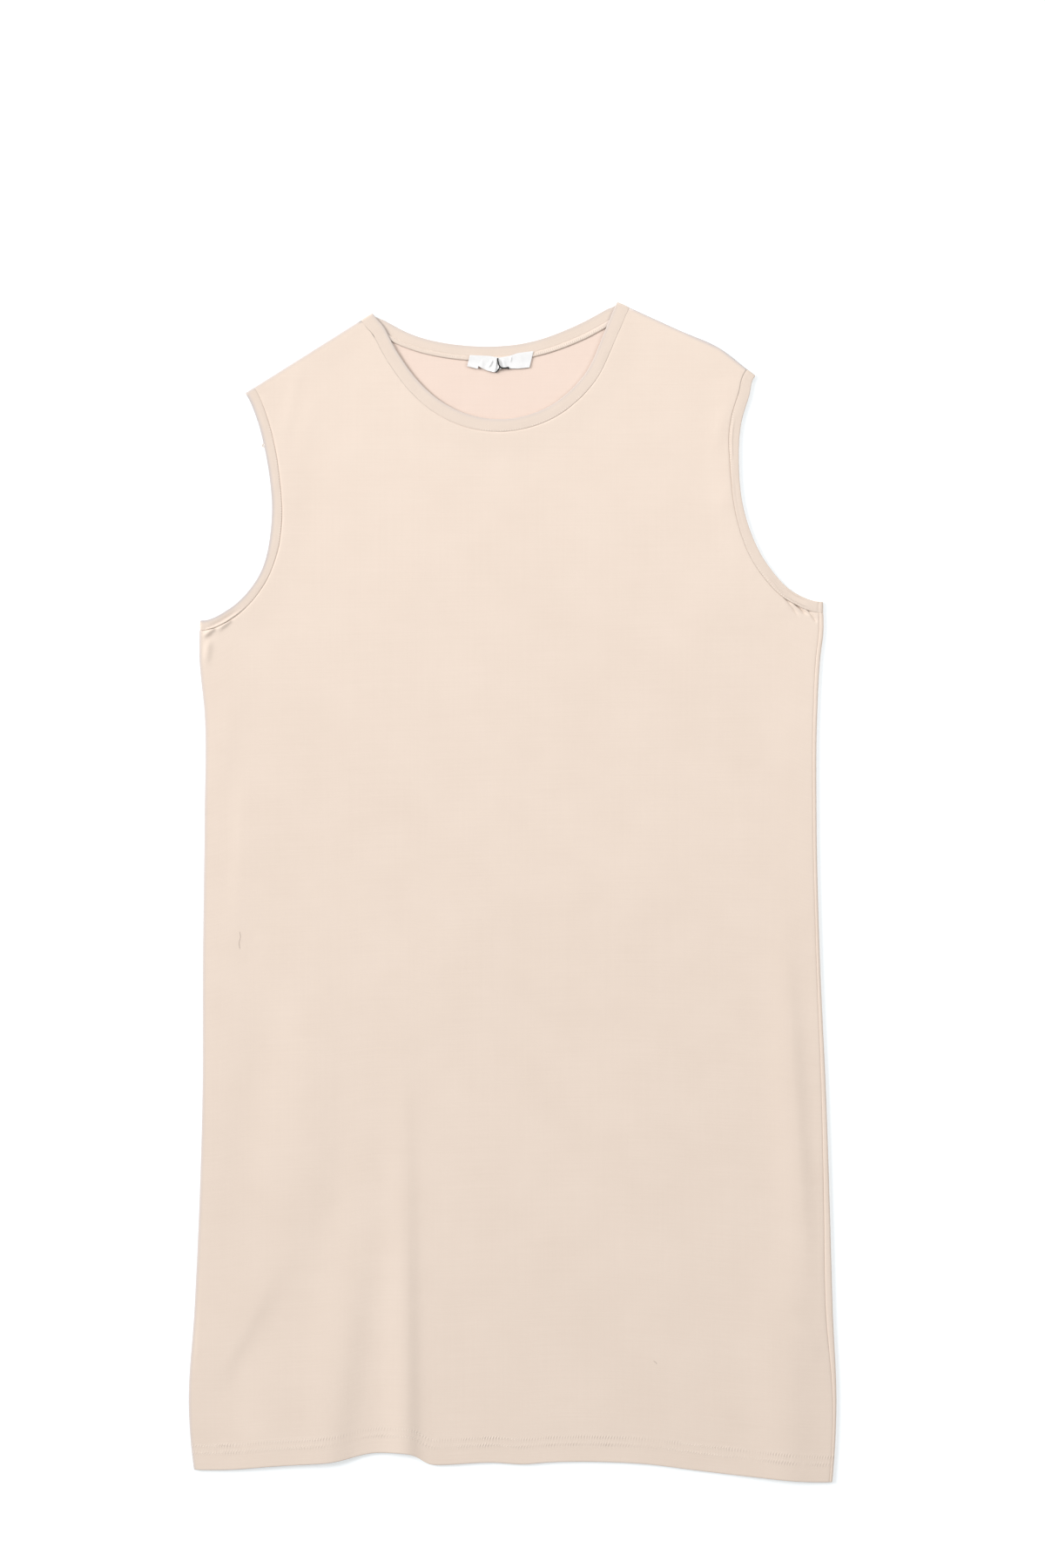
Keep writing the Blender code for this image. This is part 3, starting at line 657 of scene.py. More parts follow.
print("A grid of 3 by 3 points has", len(grid_faces(3, 3, 0)[0]), "faces")

# %% [markdown]
# ## The front
# One piece of jersey. It ends on the right at the side seam that shows, and on the left it
# rolls under the fold. Over the shoulders it rolls back to the shoulder seams.

# %% The front panel
HEM_FOOT, NO_HEM = 460, 700  # how far below the middle the hem is, and a height without one


def panel_maps(grids):
    """Both maps of a panel, its body first: (x, height above the hem), and the grain."""
    levels = [HEM_LEVELS] + [np.full(len(grid), NO_HEM) for grid in grids[1:]]
    hem = [np.dstack((grid[..., 0], level[:, None] + 0 * grid[..., 0]))
           for grid, level in zip(grids, levels)]
    return {"grain": [hem[0] - (0, HEM_FOOT)] + [grid[..., :2] for grid in grids[1:]], "hem": hem}


side_depth = float(seam_depth(UNDERARMS[1])) + SEAM_GAP / 2
front_body, front_yoke = panel(
    arm_seams[0], trimmed(arm_seams[1], side_depth), panel_top(neck_seams[0], 0),
    lambda y: (left_axis(y), right_axis(y) - seam_depth(y) - SEAM_GAP / 2), front_z)
roll = fold_columns(front_body[:, 0], np.array((-1, 0)), UNDERLAP, -1)
front_full = with_hem(np.concatenate((roll[::-1].transpose(1, 0, 2), front_body), axis=1), 1)
front_grids = [front_full, front_yoke]
for part in (slice(None, shoulder_columns + 1), slice(-shoulder_columns - 1, None)):
    row = front_yoke[-1, part]
    roll = fold_columns(row, -right_of(heading(row[:, :2])), UNDERLAP, -1)
    front_grids.append(np.concatenate((row[None], roll)))
front = sheet_piece("jersey_front", front_grids, panel_maps(front_grids), WALL, inside=1)

# %% [markdown]
# ## The back
# The back lies flat on the table, rises at the right and rolls over to the seam on top.

# %% The back panel
inset = UNDERLAP + SEAM_GAP
back_body, back_yoke = panel(
    trimmed(arm_seams[0], inset, inset), trimmed(arm_seams[1], end=inset),
    panel_top(neck_seams[1], inset), lambda y: (left_axis(y) + inset, right_axis(y)), back_z)
past = seam_depth(back_body[:, -1, 1]) - SEAM_GAP / 2
roll = fold_columns(back_body[:, -1], np.array((1, 0)), past, 1)
start, further = arm_seams[1][0], arm_seams[1][9]
seam_slope = (further[1] - start[1]) / (start[0] - further[0])
roll[-3:, -1, 1] += seam_slope * past[-1] * TAIL
back_full = with_hem(np.concatenate((back_body, roll.transpose(1, 0, 2)), axis=1), -1)
back_grids = [back_full, back_yoke]
back = sheet_piece("jersey_back", back_grids, panel_maps(back_grids), WALL, inside=1)

# %% [markdown]
# ## Bands
# A band is a strip folded lengthwise, sewn round an opening with its fold at the free edge.
# Its section is a hairpin: an inner layer, the fold, and an outer layer that rolls down into
# the seam. The section is carried round the opening: along the front, round a folded edge,
# back along the back, and round the other fold.

# %% A band's ring
STITCH_PITCH = 2
Ring = namedtuple("Ring", "place inward normal on_back share stretch")


def ring(lines, folds, side, widths):
    """The free edge's middle line as a closed ring, with two directions at each place.

    inward lies along the band from its free edge to its seam, and normal points out of
    the garment: up on the front, down on the back, and turning between them at a fold.
    share says how far along its line a place is, and stretch how wide the band is there.
    """
    turn = np.linspace(0, math.pi, 9)[1:-1, None]
    rows = []
    for line, (axis, out), way, table in zip(lines, folds[::-1], WAYS, widths):
        run = run_along(line)[-1]
        line = placed(line, np.linspace(0, run, round(run / (STITCH_PITCH / 3)) + 1))
        share = np.linspace(0, 1, len(line))
        rows.append(np.column_stack((line, 0 * line, 0 * share + way, side * right_of(heading(line)),
                                     share, at_shares(share, table)))[::way])
        inward = np.append(way * side * right_of(out), rows[-1][-1, -2:])
        rows.append(np.column_stack((axis + BAND_TURN * np.sin(turn) * out, np.sin(turn) * out,
                                     way * np.cos(turn), np.tile(inward, (len(turn), 1)))))
    x, y, out_x, out_y, level, in_x, in_y, share, wide = np.vstack(rows).T
    return Ring(np.column_stack((x, y, REACH + BAND_TURN * level)),
                np.column_stack((in_x, in_y, 0 * x)), unit(np.column_stack((out_x, out_y, level))),
                np.clip(0.5 - level / 2, 0, 1), share, wide / widths[0][-1])


neck_ring = ring(necks, neck_folds, 1, NECK_WIDTHS)
arm_rings = [ring([armholes[k]] * 2, (underarm_folds[k], tip_folds[k]), WAYS[k], [ARM_WIDTHS[k]] * 2)
             for k in (0, 1)]
print("The neckband's ring has", len(neck_ring.place), "places")


# %% A band's section, and the band
def section(width):
    """A band's section: distance from the free edge, offset outwards, layer, and ridge.

    The fold is a half circle and the outer layer is slightly crowned. The ridge is that
    of the seam allowance, which stands on the inner layer over the last millimetres.
    """
    layer = (BAND - LAYER) / 2
    inner = np.concatenate((np.linspace(width, width - 4, 15), np.linspace(width - 4.8, 0.5, 6)))
    turn = np.linspace(-math.pi / 2, math.pi / 2, 7)
    outer = np.concatenate((np.linspace(0.6, width - 2.6, 9), np.linspace(width - 2.2, width, 10)))
    away = np.concatenate((inner, layer * (1 - np.cos(turn)), outer))
    offset = np.concatenate((0 * inner - layer, layer * np.sin(turn),
                             layer + 0.12 * np.sin(math.pi * outer / width)))
    side = np.repeat((-1, 0, 1), (len(inner), len(turn), len(outer)))
    near = away - width
    ridge = smooth_step((near + 2.6) / 0.5) - 0.6 * smooth_step((near + 0.5) / 0.5)
    return away, offset, side, (ridge - 0.25 * bell(near + 2.8, 0.35)) * (side < 0)


def band(name, parts, width, stitch_row, edge_depths, wrinkles, ridge_height, overhang):
    """The section carried round the ring, slightly rippled, as one closed sheet.

    The outer layer rolls down into the seam by edge_depth times a bell, and has the
    wrinkles of a table of creases, whose x runs round the band and y across it.
    """
    away, offset, side, ridge = section(width)
    run = run_along(np.vstack((parts.place, parts.place[:1])))
    along, on_back, share = run[:-1, None], parts.on_back[:, None], parts.share[:, None]
    ripple = 0.05 * np.sin(along / 4.1) + 0.05 * np.sin(along / 7.3 + 1)
    dimple = 0.06 * np.cos(2 * math.pi * along / STITCH_PITCH) * bell(away - stitch_row, 0.9)
    edge = at_shares(share, edge_depths) * bell(width - away, 0.5)
    inland = smooth_step(np.minimum(share, 1 - share) / 0.08)
    allowance = ridge_height * (0.3 + 0.7 * on_back * inland)
    wrinkled = crease_rise(*np.broadcast_arrays(along, away[None]), wrinkles)
    lift = offset + ripple * np.sin(math.pi * away / width) - allowance * ridge
    lift = lift + (dimple - edge + wrinkled) * (side > 0)
    reach = away * parts.stretch[:, None]
    reach = reach + overhang * on_back * (side < 0) * smooth_step((away - width + 3) / 2)
    grid = parts.place[:, None] + reach[..., None] * parts.inward[:, None]
    grid = grid + lift[..., None] * parts.normal[:, None]
    across = np.append(0, np.cumsum(np.hypot(np.diff(away), np.diff(offset))))
    grain = np.dstack(np.broadcast_arrays(across[None], run[:, None]))
    return sheet_piece(name, [grid], {"grain": [grain]}, LAYER, closed=True)


print("A band's section has", len(section(ARMBAND_WIDTH)[0]), "points")

# %% Neckband and armhole bands
NECK_ROW, ARM_ROW = 9.3, 6.9  # middle of the stitches, from the free edge
NECK_EDGE = (0.02, 0.02, 0.03, 0.08, 0.2, 0.4, 0.36, 0.26, 0.16, 0.12, 0.1, 0.05, 0.02)
ARM_EDGES = ((0.2, 0.4, 0.55, 0.65, 0.6, 0.65, 0.7, 0.6, 0.55, 0.6, 0.5, 0.3, 0.1),
             (0.1, 0.1, 0.1, 0.05, 0.05, 0.05, 0.1, 0.1, 0.1, 0.1, 0.1, 0.05, 0.05))
ARM_WRINKLES = (
    (  # the left band: a ridge beside the seam and a hollow in the middle, by the underarm
        (2, 7, 38, 6.7, 0, 0.5, 0.5, 0.6, 0.05, 0.4),
        (3, 5.2, 32, 4.8, 0, 1.6, 1.2, -0.6, 0.2, 0.4),
    ),
    (  # the right band: its closing seam, then the same
        (1.9, -1, 1.9, 11, 0, 0.6, 0.6, -0.35, 0.01, 0.01),
        (8, 5.6, 54, 5.6, 0, 0.5, 0.5, 0.6, 0.15, 0.3),
        (9, 2, 50, 2, 0, 0.8, 2.4, -0.6, 0.2, 0.4),
        (66, 4.6, 140, 4.2, 0, 0.8, 1.4, -0.15, 0.4, 0.4),
        (142, 5.6, 180, 5.8, 0, 0.5, 0.7, 0.45, 0.2, 0.4),
    ),
)
neckband = band("jersey_neckband", neck_ring, NECKBAND_WIDTH, NECK_ROW, NECK_EDGE, (), 0.7, 0.8)
armbands = [band(f"jersey_armband_{title}", parts, ARMBAND_WIDTH, ARM_ROW, edges, wrinkles, 0.3, 0)
            for title, parts, edges, wrinkles
            in zip(("left", "right"), arm_rings, ARM_EDGES, ARM_WRINKLES)]

# %% [markdown]
# ## Stitches
# A stitch is a short length of thread that dives into the cloth at both ends. Hundreds of
# them are one mesh: a rod with tapered ends, placed on every stitch.


# %% Tubes and rods
def tube_points(path, ends, across, up, radii, sides):
    """Rings of points, path + radius * (cos * across + sin * up), and then both ends."""
    angle = 2 * math.pi * np.arange(sides)[:, None] / sides
    spoke = np.cos(angle) * across[..., None, :] + np.sin(angle) * up[..., None, :]
    rings = path[..., None, :] + radii[:, None, None] * spoke
    return np.concatenate((rings.reshape(len(path), -1, 3), ends), axis=1)


def tubes(name, groups, sides):
    """Closed tubes in groups of the same length: quads between rings, triangles at the ends."""
    points, faces, first = [], [], 0
    corner = np.arange(sides)
    after = (corner + 1) % sides
    for group in groups:
        size = group.shape[1]
        last = size - 2 - sides
        row = np.arange(0, last, sides)[:, None]
        quads = np.stack((row + corner, row + after, row + sides + after, row + sides + corner), -1)
        ends = (np.stack((0 * corner + size - 2, after, corner), -1),
                np.stack((0 * corner + size - 1, last + corner, last + after), -1))
        shift = first + size * np.arange(len(group))[:, None, None]
        for part in (quads.reshape(-1, 4), np.vstack(ends)):
            faces += (part + shift).reshape(-1, part.shape[1]).tolist()
        points.append(group.reshape(-1, 3))
        first += len(points[-1])
    return new_piece(name, np.vstack(points), faces)


def rods(name, centres, alongs, ups, length, thickness, sink):
    """Rods at the centres, with six sides and pointed ends that sink into the cloth.

    A rod's path is centre + x * along - sink * (2x / length)^2 * up.
    """
    x = length * np.array((-0.5, -0.42, -0.2, 0.2, 0.42, 0.5))[:, None]
    alongs, ups = unit(alongs)[:, None], unit(ups)[:, None]
    path = centres[:, None] + x * alongs - sink * (2 * x / length) ** 2 * ups
    radii = thickness / 2 * np.array((0.62, 1, 1, 0.62))
    print(name, "has", len(centres), "stitches")
    return tubes(name, [tube_points(path[:, 1:-1], path[:, ::5], np.cross(ups, alongs), ups,
                                    radii, 6)], 6)


def ring_line(parts, away, offset=0):
    """A line on a band: its free edge moved inwards by away and outwards by offset."""
    way = away * parts.stretch[:, None] * parts.inward
    return parts.place + way + np.reshape(offset, (-1, 1)) * parts.normal


def across_ring(parts, away, offset, pitch):
    """Places every pitch round a band, with the way across it and up at each."""
    line = ring_line(parts, away, offset)
    run = run_along(line)
    at = np.arange(pitch / 2, run[-1] - pitch / 3, pitch)
    return [read_rows(at, run, values) for values in (line, parts.inward, parts.normal)]


print("A line on the neckband is", round(run_along(ring_line(neck_ring, 5))[-1]), "mm long")

# %% Stitches beside the seams
THREAD = 0.42
OUT = (  # how far thread stands out at even shares of a seam; under -0.2 it is buried
    ("neck_stitches", neck_ring, NECK_ROW, neckband,
     (-0.4, -0.4, -0.3, -0.3, -0.2, -0.1, -0.06, -0.05, -0.05, -0.08, -0.2, -0.3, -0.4)),
    ("armhole_stitches_left", arm_rings[0], ARM_ROW, armbands[0],
     (0, 0.1, -0.1, -0.25, -0.2, -0.1, -0.04, -0.04, -0.08, -0.1, -0.12, -0.25, -0.4)),
    ("armhole_stitches_right", arm_rings[1], ARM_ROW, armbands[1],
     (-0.3, 0.05, 0.05, 0, -0.08, -0.14, -0.25, -0.2, -0.05, 0.04, -0.05, -0.2, -0.4)),
)
carried = defaultdict(list)  # the small pieces on each sheet
for name, parts, away, sheet, out in OUT:
    run = run_along(parts.place)
    offset = BAND / 2 - 0.02 + at_shares(parts.share, out)
    offset = offset + 0.08 * np.sin(run / 5.3) * np.sin(run / 3.1)
    stitches = across_ring(parts, away, offset, STITCH_PITCH)
    carried[sheet].append(rods(name, *stitches, 2, THREAD, 0.2))

# %% [markdown]
# ## Overlocked seam inside the back neck
# The edges inside the neck seam are wrapped in thread. It shows on the inside of the back
# as short bars, side by side across the ridge of the seam allowance. They sink in towards
# the left, no two lean quite alike, and there are none under the label.

# %% Overlock bars
bars, bar_ways, _ = across_ring(neck_ring, NECKBAND_WIDTH - 0.7, -BAND / 2 - 0.66, 1.7)
rng = np.random.default_rng(7)
bar_ways[:, :2] += (0.2 + 0.2 * rng.standard_normal((len(bars), 1))) * right_of(bar_ways[:, :2])
bars[:, 2] -= 0.16 * smooth_step(-bars[:, 0] / 40) + 0.05 * rng.random(len(bars))
x, y, z = bars.T
bare = (z < HEIGHT) & (y > np.interp(x, (-110, -10, 90), (430, 415, 430)))
bare &= ((x < -35) | (x > 17.5)) & (np.abs(x + 11) < 84)
bar_ups = np.tile((0, 0, 1), (int(bare.sum()), 1))
carried[neckband].append(rods("neck_overlock", bars[bare], bar_ways[bare], bar_ups, 3, 0.55, 0.3))

# %% [markdown]
# ## Hem stitches
# Two needles sew the hem at once, so its two rows run side by side right round the garment.
# Their thread slants across each row, and in places it is drawn right into the cloth.

# %% Hem rows
HEM_HEIGHTS = (13.5, 19.3)
HEM_PITCH = 2.2


def hem_stitches(name, body, side, height):
    """A row of slanting stitches at a height above the hem, on the outside of a body's grid.

    They sink and rise with 0.12 * (sin(run / 13 + height) + sin(run / 29)).
    """
    row = int(np.searchsorted(body_rows, height)) - 1
    part = (height - body_rows[row]) / (body_rows[row + 1] - body_rows[row])
    line, ups = (mixed(values[row], values[row + 1], part)
                 for values in (body, outside_of(body, side)))
    run = run_along(line)
    at = np.arange(1.1, run[-1] - 1, HEM_PITCH)
    sunk = 0.12 * (np.sin(at / 13 + height) + np.sin(at / 29)) - 0.17
    up = read_rows(at, run, unit(ups))
    way = unit(placed(line, at + 0.2) - placed(line, at - 0.2))
    way = 0.42 * way + 0.9 * side * np.cross(up, way)
    centres = placed(line, at) + (WALL / 2 + sunk)[:, None] * up
    return rods(name, centres, way, up, 2.6, THREAD, 0.2)


for number, height in enumerate(HEM_HEIGHTS, 1):
    for sheet, title, grid, side in ((front, "front", front_full, 1), (back, "back", back_full, -1)):
        body = grid[-len(body_rows):]
        carried[sheet].append(hem_stitches(f"hem_stitches_{title}_{number}", body, side, height))

# %% [markdown]
# ## The label
# A narrow strip of white satin, caught in the neck seam by its upper edge. A black thread
# gathers it in the middle, so the strip is crumpled there and its lower edge hangs free. It
# is bare: nothing is woven or printed on it.

# %% The label's sheet
LABEL_WALL = 0.32
LABEL_TOP = ((-34.2, 430.7), (-17.9, 430), (-10.9, 428.6), (-2.7, 430), (4.3, 432.4), (16.9, 434))
LABEL_LOW = ((-36.4, 421.8), (-27.9, 419.7), (-27.3, 421.9), (-24.5, 420.2), (-20, 418.2),
             (-14.6, 416.9), (-8.8, 420), (-2.7, 420.1), (4.3, 419.9), (13.7, 420.9))
LABEL_CREASES = (  # as for the front; they fan out from where the strip is gathered
    (-16, 427, -19.6, 420.5, 0.3, 1, 0.7, 0.85, 0.25, 0.35),
    (-12.8, 428, -15.2, 415.5, 0.5, 1.3, 0.9, 0.95, 0.3, 0),
    (-10.6, 428.4, -9.6, 417.5, -0.3, 1.1, 1, 0.8, 0.3, 0),
    (-8.2, 428, -4.2, 418.5, -0.4, 1.2, 1.3, 0.6, 0.35, 0.15),
    (-1, 430, -1.4, 424.5, 0, 0.8, 0.6, 0.55, 0.3, 0.4),
    (-24, 429, -25.6, 417.5, 0.4, 2.4, 1.6, 0.4, 0.4, 0),
    (6, 433, 8.4, 419, -0.5, 3, 2.4, 0.22, 0.4, 0),
)


def strip_edge(table):
    """Points on a table's line of straight steps, at even shares of its width."""
    keys, values = np.array(table).T
    x = mixed(keys[0], keys[-1], np.linspace(0, 1, 161))
    return np.column_stack((x, np.interp(x, keys, values)))


def grain_of(grid):
    """Running lengths of the steps across and along a grid."""
    steps = [np.linalg.norm(np.diff(grid, axis=k, prepend=grid.take([0], k)), axis=2)
             for k in (1, 0)]
    return np.dstack([step.cumsum(axis=k) for k, step in zip((1, 0), steps)])


up = np.linspace(0, 1, 41)[:, None]
plan = mixed(strip_edge(LABEL_LOW), strip_edge(LABEL_TOP), up[..., None])
x, y = plan[..., 0], plan[..., 1]
loose = 1 - up
label_z = 2.45 + 0.1 * np.sin(0.21 * x + 1) - 0.6 * smooth_step(1.5 * loose)
label_z = label_z + 0.5 * bell(x + 12, 8.5) * (0.35 + 0.65 * loose) - 0.035 * np.minimum(x + 14, 0)
label_z = label_z + crease_rise(x, y, LABEL_CREASES) + 0.1 * loose * np.sin(0.6 * x)
label_grid = np.dstack((plan, label_z))
label = sheet_piece("neck_label_satin", [label_grid], {"grain": [grain_of(label_grid)]}, LABEL_WALL)

# %% [markdown]
# ## Loose threads
# The black thread is a thin tube along a curve: it comes up through the gathered strip,
# crosses it, and leaves one short tail. A tiny knot of beige thread sticks out of the left
# armhole's edge, and a few fibres of lint lie on the cloth.

# %% Threads, knot and lint
UPRIGHT = (0.013, 0.021, 1)  # nearly, so that it lies along no thread


def thread(name, paths, thickness, sides=8):
    """Tubes along smooth paths, thinner by their ends: radius * sqrt(1 - t^16)."""
    groups = []
    for path in paths:
        path = curve(path, count=max(24, round(run_along(path)[-1] * 3)))
        way = heading(path)
        across = unit(np.cross(UPRIGHT, way))
        radii = thickness / 2 * np.sqrt(np.clip(1 - np.linspace(-1, 1, len(path)) ** 16, 0.02, 1))
        groups.append(tube_points(path[None], path[None, [0, -1]], across, np.cross(way, across),
                                  radii, sides))
    print(name, "is made of", len(paths), "tubes")
    return tubes(name, groups, sides)


def on_front(points, lift):
    """Points lifted onto the front's outside."""
    x, y = np.array(points).T
    return np.column_stack((x, y, front_z(x, y, 300) + WALL / 2 + lift))


label_thread = thread("label_thread", (
    ((-11.7, 428.4, 2.4), (-11.9, 427.2, 3.6), (-11.4, 424.4, 4), (-10.2, 421.6, 3.6),
     (-8.6, 420.5, 3.2), (-6.2, 420.3, 3), (-3.8, 420.8, 2.9), (-3, 421.2, 2.4)),
    ((-4.2, 421.2, 2.9), (-3.2, 420.2, 2.6), (-2.9, 419.6, 2.1)),
    ((-9.9, 421.6, 3.4), (-11, 419.4, 2.7), (-12.4, 418, 2), (-13.4, 417, 1.6)),
), 1.1)
armhole_knot = thread("armhole_knot", (
    ((-198.6, 361, 2.4), (-199.9, 359.8, 2.7), (-200.9, 358.2, 2.5), (-200.2, 357, 2.2),
     (-199, 357.4, 2.7), (-199.2, 359, 3), (-200.4, 358.8, 2), (-199.4, 356.4, 2.3)),
), 0.55)
lint = thread("lint_fibres", (
    on_front(((-219, -32), (-218.4, -36), (-219.4, -41), (-219, -46)), 0.06),
    on_front(((113.2, -376.6), (114.4, -377.4), (115.6, -378.6), (116, -379.4)), 0.08),
), 0.15, 6)
for sheet, piece in ((label, label_thread), (armbands[0], armhole_knot), (front, lint)):
    carried[sheet].append(piece)

# %% [markdown]
# ## Recipes for finishes
# A finish is a tree of nodes. One small class wraps a number in that tree, so the maths of
# a pattern reads as plain arithmetic, and each operator adds a Math node.


# %% Node helpers
def operator(operation, reflected=False):
    """A method that adds one Math node. Reflected, it takes its two numbers in reverse."""
    def method(self, other):
        return self.math(operation, *((other, self) if reflected else (self, other)))
    return method


class Number:
    """A node's output that carries a number."""

    def __init__(self, finish, socket):
        self.finish, self.socket = finish, socket

    def math(self, operation, *values):
        settings = {"operation": operation}
        return self.finish.number("ShaderNodeMath", settings, dict(enumerate(values)))

    __add__, __radd__ = operator("ADD"), operator("ADD", True)
    __sub__, __rsub__ = operator("SUBTRACT"), operator("SUBTRACT", True)
    __mul__, __rmul__ = operator("MULTIPLY"), operator("MULTIPLY", True)
    __truediv__, __rtruediv__ = operator("DIVIDE"), operator("DIVIDE", True)

    def swing(self):
        """A wave from 0 to 1 and back while the number grows by 1."""
        return self.math("PINGPONG", self, 0.5) * 2

    def bell(self, width):
        """exp(-(number / width)^2)."""
        return self.math("EXPONENT", -1 * ((self / width) * (self / width)))


class Finish:
    """A material, made node by node."""

    def __init__(self, name, roughness, sheen=0):
        self.material = bpy.data.materials.new(name)
        self.material.use_nodes = True
        self.tree = self.material.node_tree
        self.done({"Roughness": roughness, "Sheen Weight": sheen, "Sheen Roughness": 0.5,
                   "Specular IOR Level": 0.25})

    def done(self, values):
        """The material, with its shader's sockets fed."""
        for title, value in values.items():
            self.feed(self.tree.nodes["Principled BSDF"].inputs[title], value)
        return self.material

    def node(self, kind, settings, values):
        """A node of a kind, with its settings made first and then its sockets fed."""
        made = self.tree.nodes.new(kind)
        for key, value in settings.items():
            setattr(made, key, value)
        for key, value in values.items():
            self.feed(made.inputs[key], value)
        return made

    def feed(self, socket, value):
        """A link, a number, or a colour of three numbers for a socket."""
        if isinstance(value, Number):
            value = value.socket
        if isinstance(value, bpy.types.NodeSocket):
            self.tree.links.new(value, socket)
        else:
            socket.default_value = (*value, 1) if isinstance(value, tuple) else value

    def number(self, kind, settings, values, output=0):
        return Number(self, self.node(kind, settings, values).outputs[output])

    def parts(self, vector):
        """The three numbers of a vector."""
        split = self.node("ShaderNodeSeparateXYZ", {}, {0: vector})
        return [Number(self, socket) for socket in split.outputs]

    def place(self):
        """Object coordinates, in metres."""
        return self.node("ShaderNodeTexCoord", {}, {}).outputs["Object"]

    def map_numbers(self, title):
        """Both numbers of a map of the mesh, in metres."""
        return self.parts(self.node("ShaderNodeUVMap", {"uv_map": title}, {}).outputs[0])[:2]

    def noise(self, vector, scale, detail=2, roughness=0.5):
        return self.number("ShaderNodeTexNoise", {}, {"Vector": vector, "Scale": scale,
                                                      "Detail": detail, "Roughness": roughness})

    def streaks(self, u, v, scale_u, scale_v):
        """Noise on two numbers that are scaled apart."""
        vector = self.node("ShaderNodeCombineXYZ", {}, {0: u * scale_u, 1: v * scale_v})
        return self.noise(vector.outputs[0], 1)

    def mix(self, share, first, second):
        """A colour between two colours, as a socket."""
        made = self.node("ShaderNodeMix", {"data_type": "RGBA"}, {0: share, 6: first, 7: second})
        return made.outputs[2]

    def bump(self, height, strength, distance, below=None):
        values = {"Height": height, "Strength": strength, "Distance": distance}
        if below is not None:
            values["Normal"] = below
        return self.node("ShaderNodeBump", {}, values).outputs[0]


print("Node helpers are ready")

# %% [markdown]
# ## Single jersey
# On its outside, single jersey shows columns of small Vs, called wales, about 0.8 mm apart,
# and the rows of loops are called courses. From further away only faint streaks of uneven
# yarn and soft clouds in the dye remain. The inside shows loops and takes the dye warmer.
# Beside the hem's stitches the cloth is drawn into tiny ruffles. Along the front's left fold
# and shoulders, the neck's free edges and the left armhole band, a greyer rim is painted: painted
# shade.


# %% Jersey finishes
def jersey(name, light, dark, wale=0.00082, course=0.00062, hem=False, turned=False):
    """Knit, streaks and clouds.

    Height of the knit = 0.7 * rib + 0.3 * loop, where rib is a wave across the wales and
    loop is a wave along them whose phase is pushed back towards the edge of each wale,
    which draws the V. Noise bends both waves a little, as no two loops are alike.
    """
    finish = Finish(name, 0.92, 0.12)
    u, v = finish.map_numbers("grain")[:: -1 if turned else 1]
    place = finish.place()
    bend = finish.noise(place, 260, 1)
    rib = (u / wale + 1.2 * bend).swing()
    loop = (v / course - rib * 0.5 + 1.4 * bend).swing()
    fuzz = finish.noise(place, 1900, 3, 0.7)
    streak = finish.streaks(u, v, 14, 900)
    share = (0.28 * finish.noise(place, 26, 3) + 0.22 * finish.noise(place, 6) + 0.2 * streak
             + 0.12 * finish.streaks(u, v, 700, 9) + 0.18 * fuzz)
    # Painted shade: the cloth is painted a little darker in the grooves between the wales.
    share = (share - 0.32) * 2.6 + 0.08 * (1 - rib)
    normal = finish.bump(0.7 * rib + 0.3 * loop + 0.5 * fuzz, 0.12, 0.00014)
    normal = finish.bump(finish.noise(place, 190) + 0.5 * streak, 0.5, 0.00018, normal)
    if hem:
        along, above = finish.map_numbers("hem")
        patchy = finish.noise(place, 60, 1)
        phase = along / (HEM_PITCH / 1000) + 1.5 * patchy
        lower, upper = ((above - row / 1000).bell(0.0016) for row in HEM_HEIGHTS)
        sewn = (lower + upper) * patchy
        ruffle_and_highlight = (phase - above / 0.008).swing() * sewn * patchy
        normal = finish.bump(ruffle_and_highlight, 1, 0.0006, normal)
        # Painted highlight: the cloth is painted lighter on the ruffles' crests.
        share = share - 4.2 * ruffle_and_highlight
    knitted = finish.mix(share, light, dark)
    if hem:
        # Painted shade: between the hem's stitches the cloth is painted a darker brown.
        shade_between_stitches = (1 - phase.swing()) * sewn
        knitted = finish.mix(0.55 * shade_between_stitches, knitted, (0.5, 0.405, 0.335))
    # Painted shade: where the mesh attribute says so, a grey-lilac is mixed in along folded edges.
    painted_edge_shade = finish.number("ShaderNodeAttribute", {"attribute_name": "painted_edge_shade"}, {}, "Fac")
    colour = finish.mix(0.7 * painted_edge_shade, knitted, (0.44, 0.415, 0.43))
    return finish.done({"Base Color": colour, "Normal": normal})


def paint_edge_shade(piece, edges, strength=1):
    """An attribute beside the edges, strength * bell of the distance: painted shade, a greyer rim.
    """
    points = np.empty(3 * len(piece.data.vertices))
    piece.data.vertices.foreach_get("co", points)
    x, y = points.reshape(-1, 3)[:, :2].T * 1000
    away = np.min([nearest(x, y, np.array(edge))[0] for edge in edges], axis=0)
    painted_edge_shade = piece.data.attributes.new("painted_edge_shade", "FLOAT", "POINT")
    painted_edge_shade.data.foreach_set("value", strength * bell(away, 1.6))


jersey_outside = jersey("Jersey outside", (0.713, 0.602, 0.518), (0.663, 0.553, 0.47), hem=True)
jersey_inside = jersey("Jersey inside", (0.722, 0.588, 0.511), (0.68, 0.545, 0.469), course=0.0005)
# Painted shade: the bands' jersey is painted a shade darker than the front's, for the shade on the
# band's slopes.
jersey_doubled_shaded = jersey("Jersey doubled in a band, painted darker", (0.676, 0.571, 0.493), (0.627, 0.525, 0.447),
                        wale=0.0009, turned=True)
for piece in (front, back):
    piece.data.materials.append(jersey_outside)
    piece.data.materials.append(jersey_inside)
for piece in (neckband, *armbands):
    piece.data.materials.append(jersey_doubled_shaded)
heights = np.linspace(-470, 220, 60)
